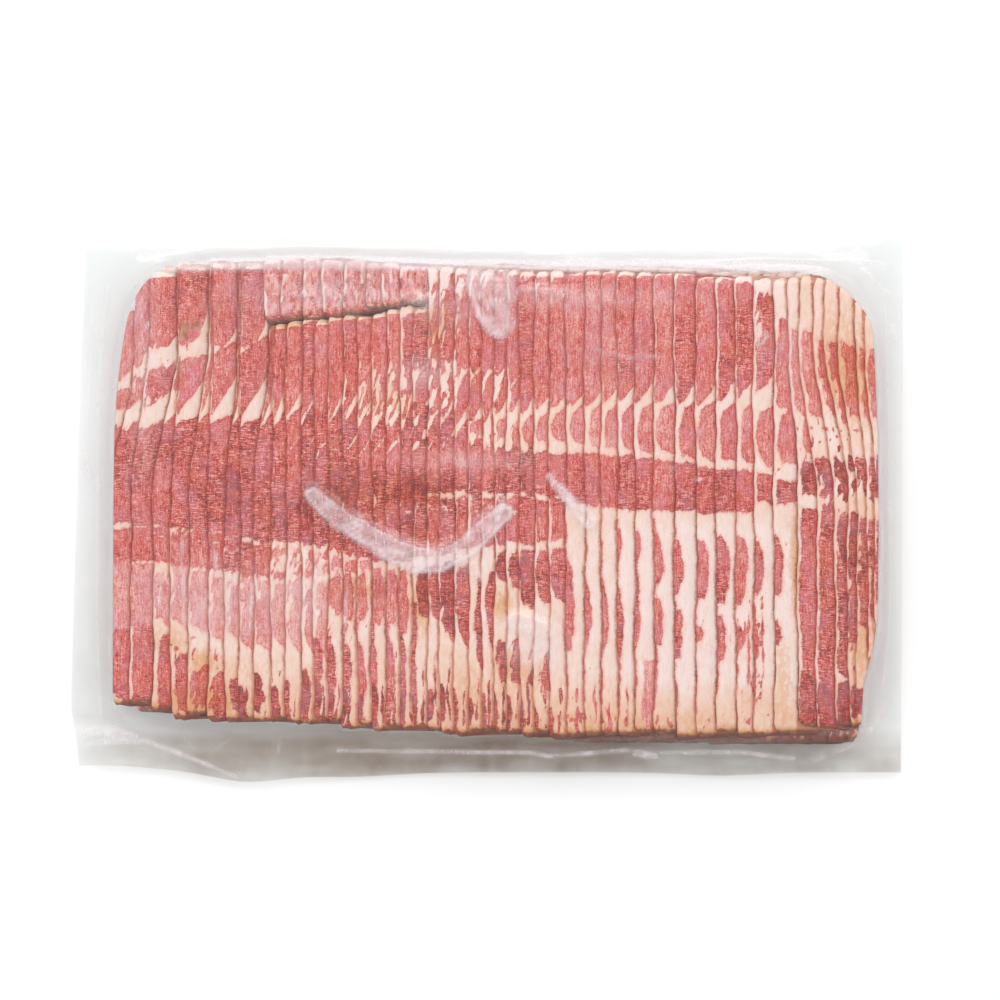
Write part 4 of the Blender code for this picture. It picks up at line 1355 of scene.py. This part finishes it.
def meat_material():
    """Lean and fat from the slices' own numbers, roughened, with marbling, stains and painted shade beside the
    joints.
    """
    n = Nodes("bacon")
    facts = n.add("ShaderNodeSeparateColor", {"Color": n.attribute("meat", "Color")})
    lean, tone, warm = facts.outputs
    shade = n.attribute("meat", "Alpha")
    amber = n.attribute("amber")

    coarse = n.centred(n.noise((0.42, 0.24, 0.42), 3.0, 0.6))
    fine = n.centred(n.noise((1.5, 1.0, 1.5), 3.0, 0.7))
    streak = n.centred(n.noise((1.9, 0.14, 1.9), 3.0, 0.6))
    fibre = n.noise((0.34, 2.3, 0.34), 3.0, 0.6, 0.5)
    blotch = n.noise((0.085, 0.06, 0.085))
    patch = n.noise((0.16, 0.11, 0.16))

    # Where lean starts, with a rough line.
    depth = n.times(lean, LEAN_RANGE, -0.5 * LEAN_RANGE)
    depth = n.plus(depth, n.times(fine, 2.6, n.times(coarse, 1.6)))
    is_lean = n.ramp(depth, -0.25, 0.30)

    # Pale marbling: flecks, and fine lines in the deeper lean.
    fleck = n.ramp(n.noise((0.95, 0.55, 0.95), 4.0, 0.65, 0.6), 0.60, 0.68)
    line = n.times(n.ramp(fibre, 0.56, 0.64), n.ramp(tone, 0.5, 0.8, 0.3, 1.0))
    light = n.maths("MAXIMUM", n.times(fleck, 0.5), n.times(line, 0.46))
    light = n.times(light, n.ramp(tone, 0.82, 0.92, 1.0, 0.15))

    shift = n.plus(n.times(fine, 1.9, coarse), n.times(streak, 1.4))
    shift = n.plus(shift, n.times(n.centred(fibre), n.ramp(tone, 0.58, 0.74, 0.0, 2.4)))
    fringe = n.ramp(n.times(coarse, 1.6, depth), 0.0, 1.5, 0.16, 0.0)
    lean_colour = n.colours(n.plus(n.maths("SUBTRACT", tone, shift), fringe), LEAN_STOPS)
    lean_colour = n.blend(n.ramp(blotch, 0.46, 0.62, 0.0, 0.27), lean_colour, MAUVE)
    lean_colour = n.blend(n.ramp(patch, 0.5, 0.68, 0.0, 0.40), lean_colour, RUST)
    lean_colour = n.blend(light, lean_colour, MARBLE)

    fat_colour = n.colours(n.plus(warm, n.times(coarse, 0.9, n.times(streak, 0.5))), FAT_STOPS)
    fat_colour = n.blend(n.ramp(n.plus(fine, streak), 0.02, 0.30, 0.0, 0.5), fat_colour, BLUSH)
    fat_colour = n.blend(n.ramp(depth, -1.6, -0.1, 0.0, 0.6), fat_colour, BLUSH)
    base = n.blend(is_lean, fat_colour, lean_colour)

    # Amber stains, then a dark brown where their number goes past 1, as along the slices' front ends.
    grime = n.times(amber, 0.3, n.noise((0.5, 0.3, 0.5), 4.0, 0.65))
    dirty = n.times(n.ramp(grime, 0.52, 0.74), n.maths("MINIMUM", amber, 1.0))
    base = n.blend(n.times(dirty, 0.85), base, AMBER, "MULTIPLY")
    base = n.blend(n.ramp(n.times(coarse, 0.9, amber), 0.95, 1.6, 0.0, 0.8), base, BROWN)

    # Painted shade: the strip beside the next slice's edge is darker, and the gap line under that edge more so
    # over fat.
    base = n.blend(n.ramp(shade, 0.5, 0.95, 0.0, 0.75), base, COVERED_SHADE_TINT, "MULTIPLY")
    gap = n.times(is_lean, -0.06, n.times(fine, 0.7, shade))
    gap = n.ramp(n.times(coarse, 0.4, gap), 0.74, 0.96)
    gap = n.times(gap, n.ramp(patch, 0.38, 0.60, 0.45, 1.0))
    gap = n.times(gap, n.times(is_lean, -0.32, 0.77))
    gap = n.times(gap, n.ramp(tone, 0.64, 0.76, 1.0, 0.55))
    base = n.blend(gap, base, GAP_SHADE_TINT, "MULTIPLY")

    height = n.plus(n.times(is_lean, -0.3, n.times(fine, 0.7)), n.times(fibre, 0.4))
    return n.finish(n.principled(Base_Color=base, Roughness=n.times(coarse, 0.3, 0.5),
                                 Normal=n.bump(height, 0.5, 0.0003), Specular_IOR_Level=0.3))


def film_material():
    """Clear film: Schlick's rule for gloss, a grey tint of painted shade, and painted white glare at folds, in
    sheen patches and as small glints.
    """
    n = Nodes("film")
    painted_glare, painted_shade, painted_bounce, free = (n.attribute(name) for name in ("painted_glare", "painted_shade", "painted_bounce", "free"))
    wide = n.noise((0.10, 0.055, 0.1), 2.0, 0.5, 0.6)
    small = n.noise((0.45, 0.20, 0.45), 3.0, 0.55, 0.4)
    normal = n.bump(n.times(small, 0.35, wide), n.times(free, 0.4, 0.3), 0.001)

    # Painted shade greys the film's tint, in patches.
    patchy_shade = n.times(painted_shade, n.ramp(wide, 0.3, 0.7, 0.86, 1.14))
    tint = n.blend(patchy_shade, CLEAR_TINT, n.blend(painted_bounce, FILM_SHADE_TINT, BOUNCE_TINT))
    clear = n.add("ShaderNodeBsdfTransparent", {"Color": tint}).outputs[0]
    gloss = n.add("ShaderNodeBsdfAnisotropic", {"Color": WHITE, "Roughness": 0.2, "Normal": normal}).outputs[0]
    facing = n.add("ShaderNodeLayerWeight", {"Blend": 0.5, "Normal": normal}).outputs["Facing"]
    mirror = n.times(n.maths("POWER", facing, 5.0), 0.96, 0.04)
    shiny = n.mix_shaders(mirror, clear, gloss)

    # Painted glare, with small painted glints where there is a little of it.
    amount = n.times(painted_glare, n.ramp(small, 0.3, 0.7, 0.74, 0.90))
    glint = n.ramp(n.noise((1.0, 0.24, 1.0), 2.0, 0.5, 0.3), 0.60, 0.67, 0.0, 0.55)
    amount = n.maths("MAXIMUM", amount, n.times(glint, n.ramp(painted_glare, 0.06, 0.26)))
    return n.finish(n.mix_shaders(amount, shiny, n.principled(Base_Color=GLARE_WHITE, Roughness=0.3)))


def floor_material():
    n = Nodes("pale_floor")
    tone = (FLOOR_TONE, FLOOR_TONE, FLOOR_TONE, 1.0)
    return n.finish(n.principled(Base_Color=tone, Roughness=0.8, Specular_IOR_Level=0.1))


# ---- stage, light and camera
def add_floor():
    data = bpy.data.meshes.new("floor")
    signs = ((-1, -1), (1, -1), (1, 1), (-1, 1))
    data.from_pydata([(FLOOR_HALF * a, FLOOR_HALF * b, 0.0) for a, b in signs], [], [(0, 1, 2, 3)])
    data.materials.append(floor_material())
    floor = linked("floor", data)
    floor.location.z = -FLOOR_DROP


def aimed(name, data, place, target):
    """A light or a camera that looks at a target."""
    made = linked(name, data)
    made.location = place
    made.rotation_euler = (Vector(target) - Vector(place)).to_track_quat("-Z", "Y").to_euler()
    return made


def add_lights():
    """One large soft lamp behind the pack, and an even white surrounding."""
    data = bpy.data.lights.new("key", "AREA")
    data.shape = "RECTANGLE"
    data.size, data.size_y = KEY_SIZE
    data.energy = KEY_POWER
    aimed("key", data, KEY_PLACE, (0.0, 0.0, 0.01))
    world = bpy.data.worlds.new("studio")
    world.use_nodes = True
    background = world.node_tree.nodes["Background"].inputs
    background["Color"].default_value = WHITE
    background["Strength"].default_value = 1.0
    bpy.context.scene.world = world


def add_camera():
    elevation = math.radians(CAMERA_ELEVATION)
    target = Vector(to_frame([*VIEW_CENTRE, VIEW_HEIGHT]))
    away = Vector((0.0, -math.cos(elevation), math.sin(elevation)))
    data = bpy.data.cameras.new("camera")
    data.sensor_width = SENSOR_WIDTH
    data.lens = SENSOR_WIDTH * CAMERA_DISTANCE / VIEW_WIDTH
    data.clip_end = 20.0
    bpy.context.scene.camera = aimed("camera", data, target + away * CAMERA_DISTANCE, target)


def main():
    meat = meat_material()
    film = film_material()
    upper_loop = section_loop(UPPER_TOP, UPPER_UNDER)
    lower_loop = section_loop(LOWER_TOP, LOWER_UNDER)
    upper, flaps, lower = upper_slices(), flap_slices(), lower_slices()
    for number, one in enumerate(upper):
        make_slices(f"slice_{number + 1:02d}", [one], upper_loop, UPPER_SHOWN, UPPER_STEP, UPPER_BANDS, meat)
    make_slices("short_slices", flaps, upper_loop, UPPER_SHOWN, UPPER_STEP, 1, meat)
    third = len(lower) // 3 + 1
    for k in range(3):
        group = lower[k * third:(k + 1) * third]
        make_slices(f"lower_slices_{k + 1}", group, lower_loop, LOWER_SHOWN, LOWER_STEP, 1, meat)
    top_film(upper + flaps + lower, film)
    bottom_film(lower, film)
    add_floor()
    add_lights()
    add_camera()
    view = bpy.context.scene.view_settings
    view.view_transform = "Standard"
    view.look = "None"


main()
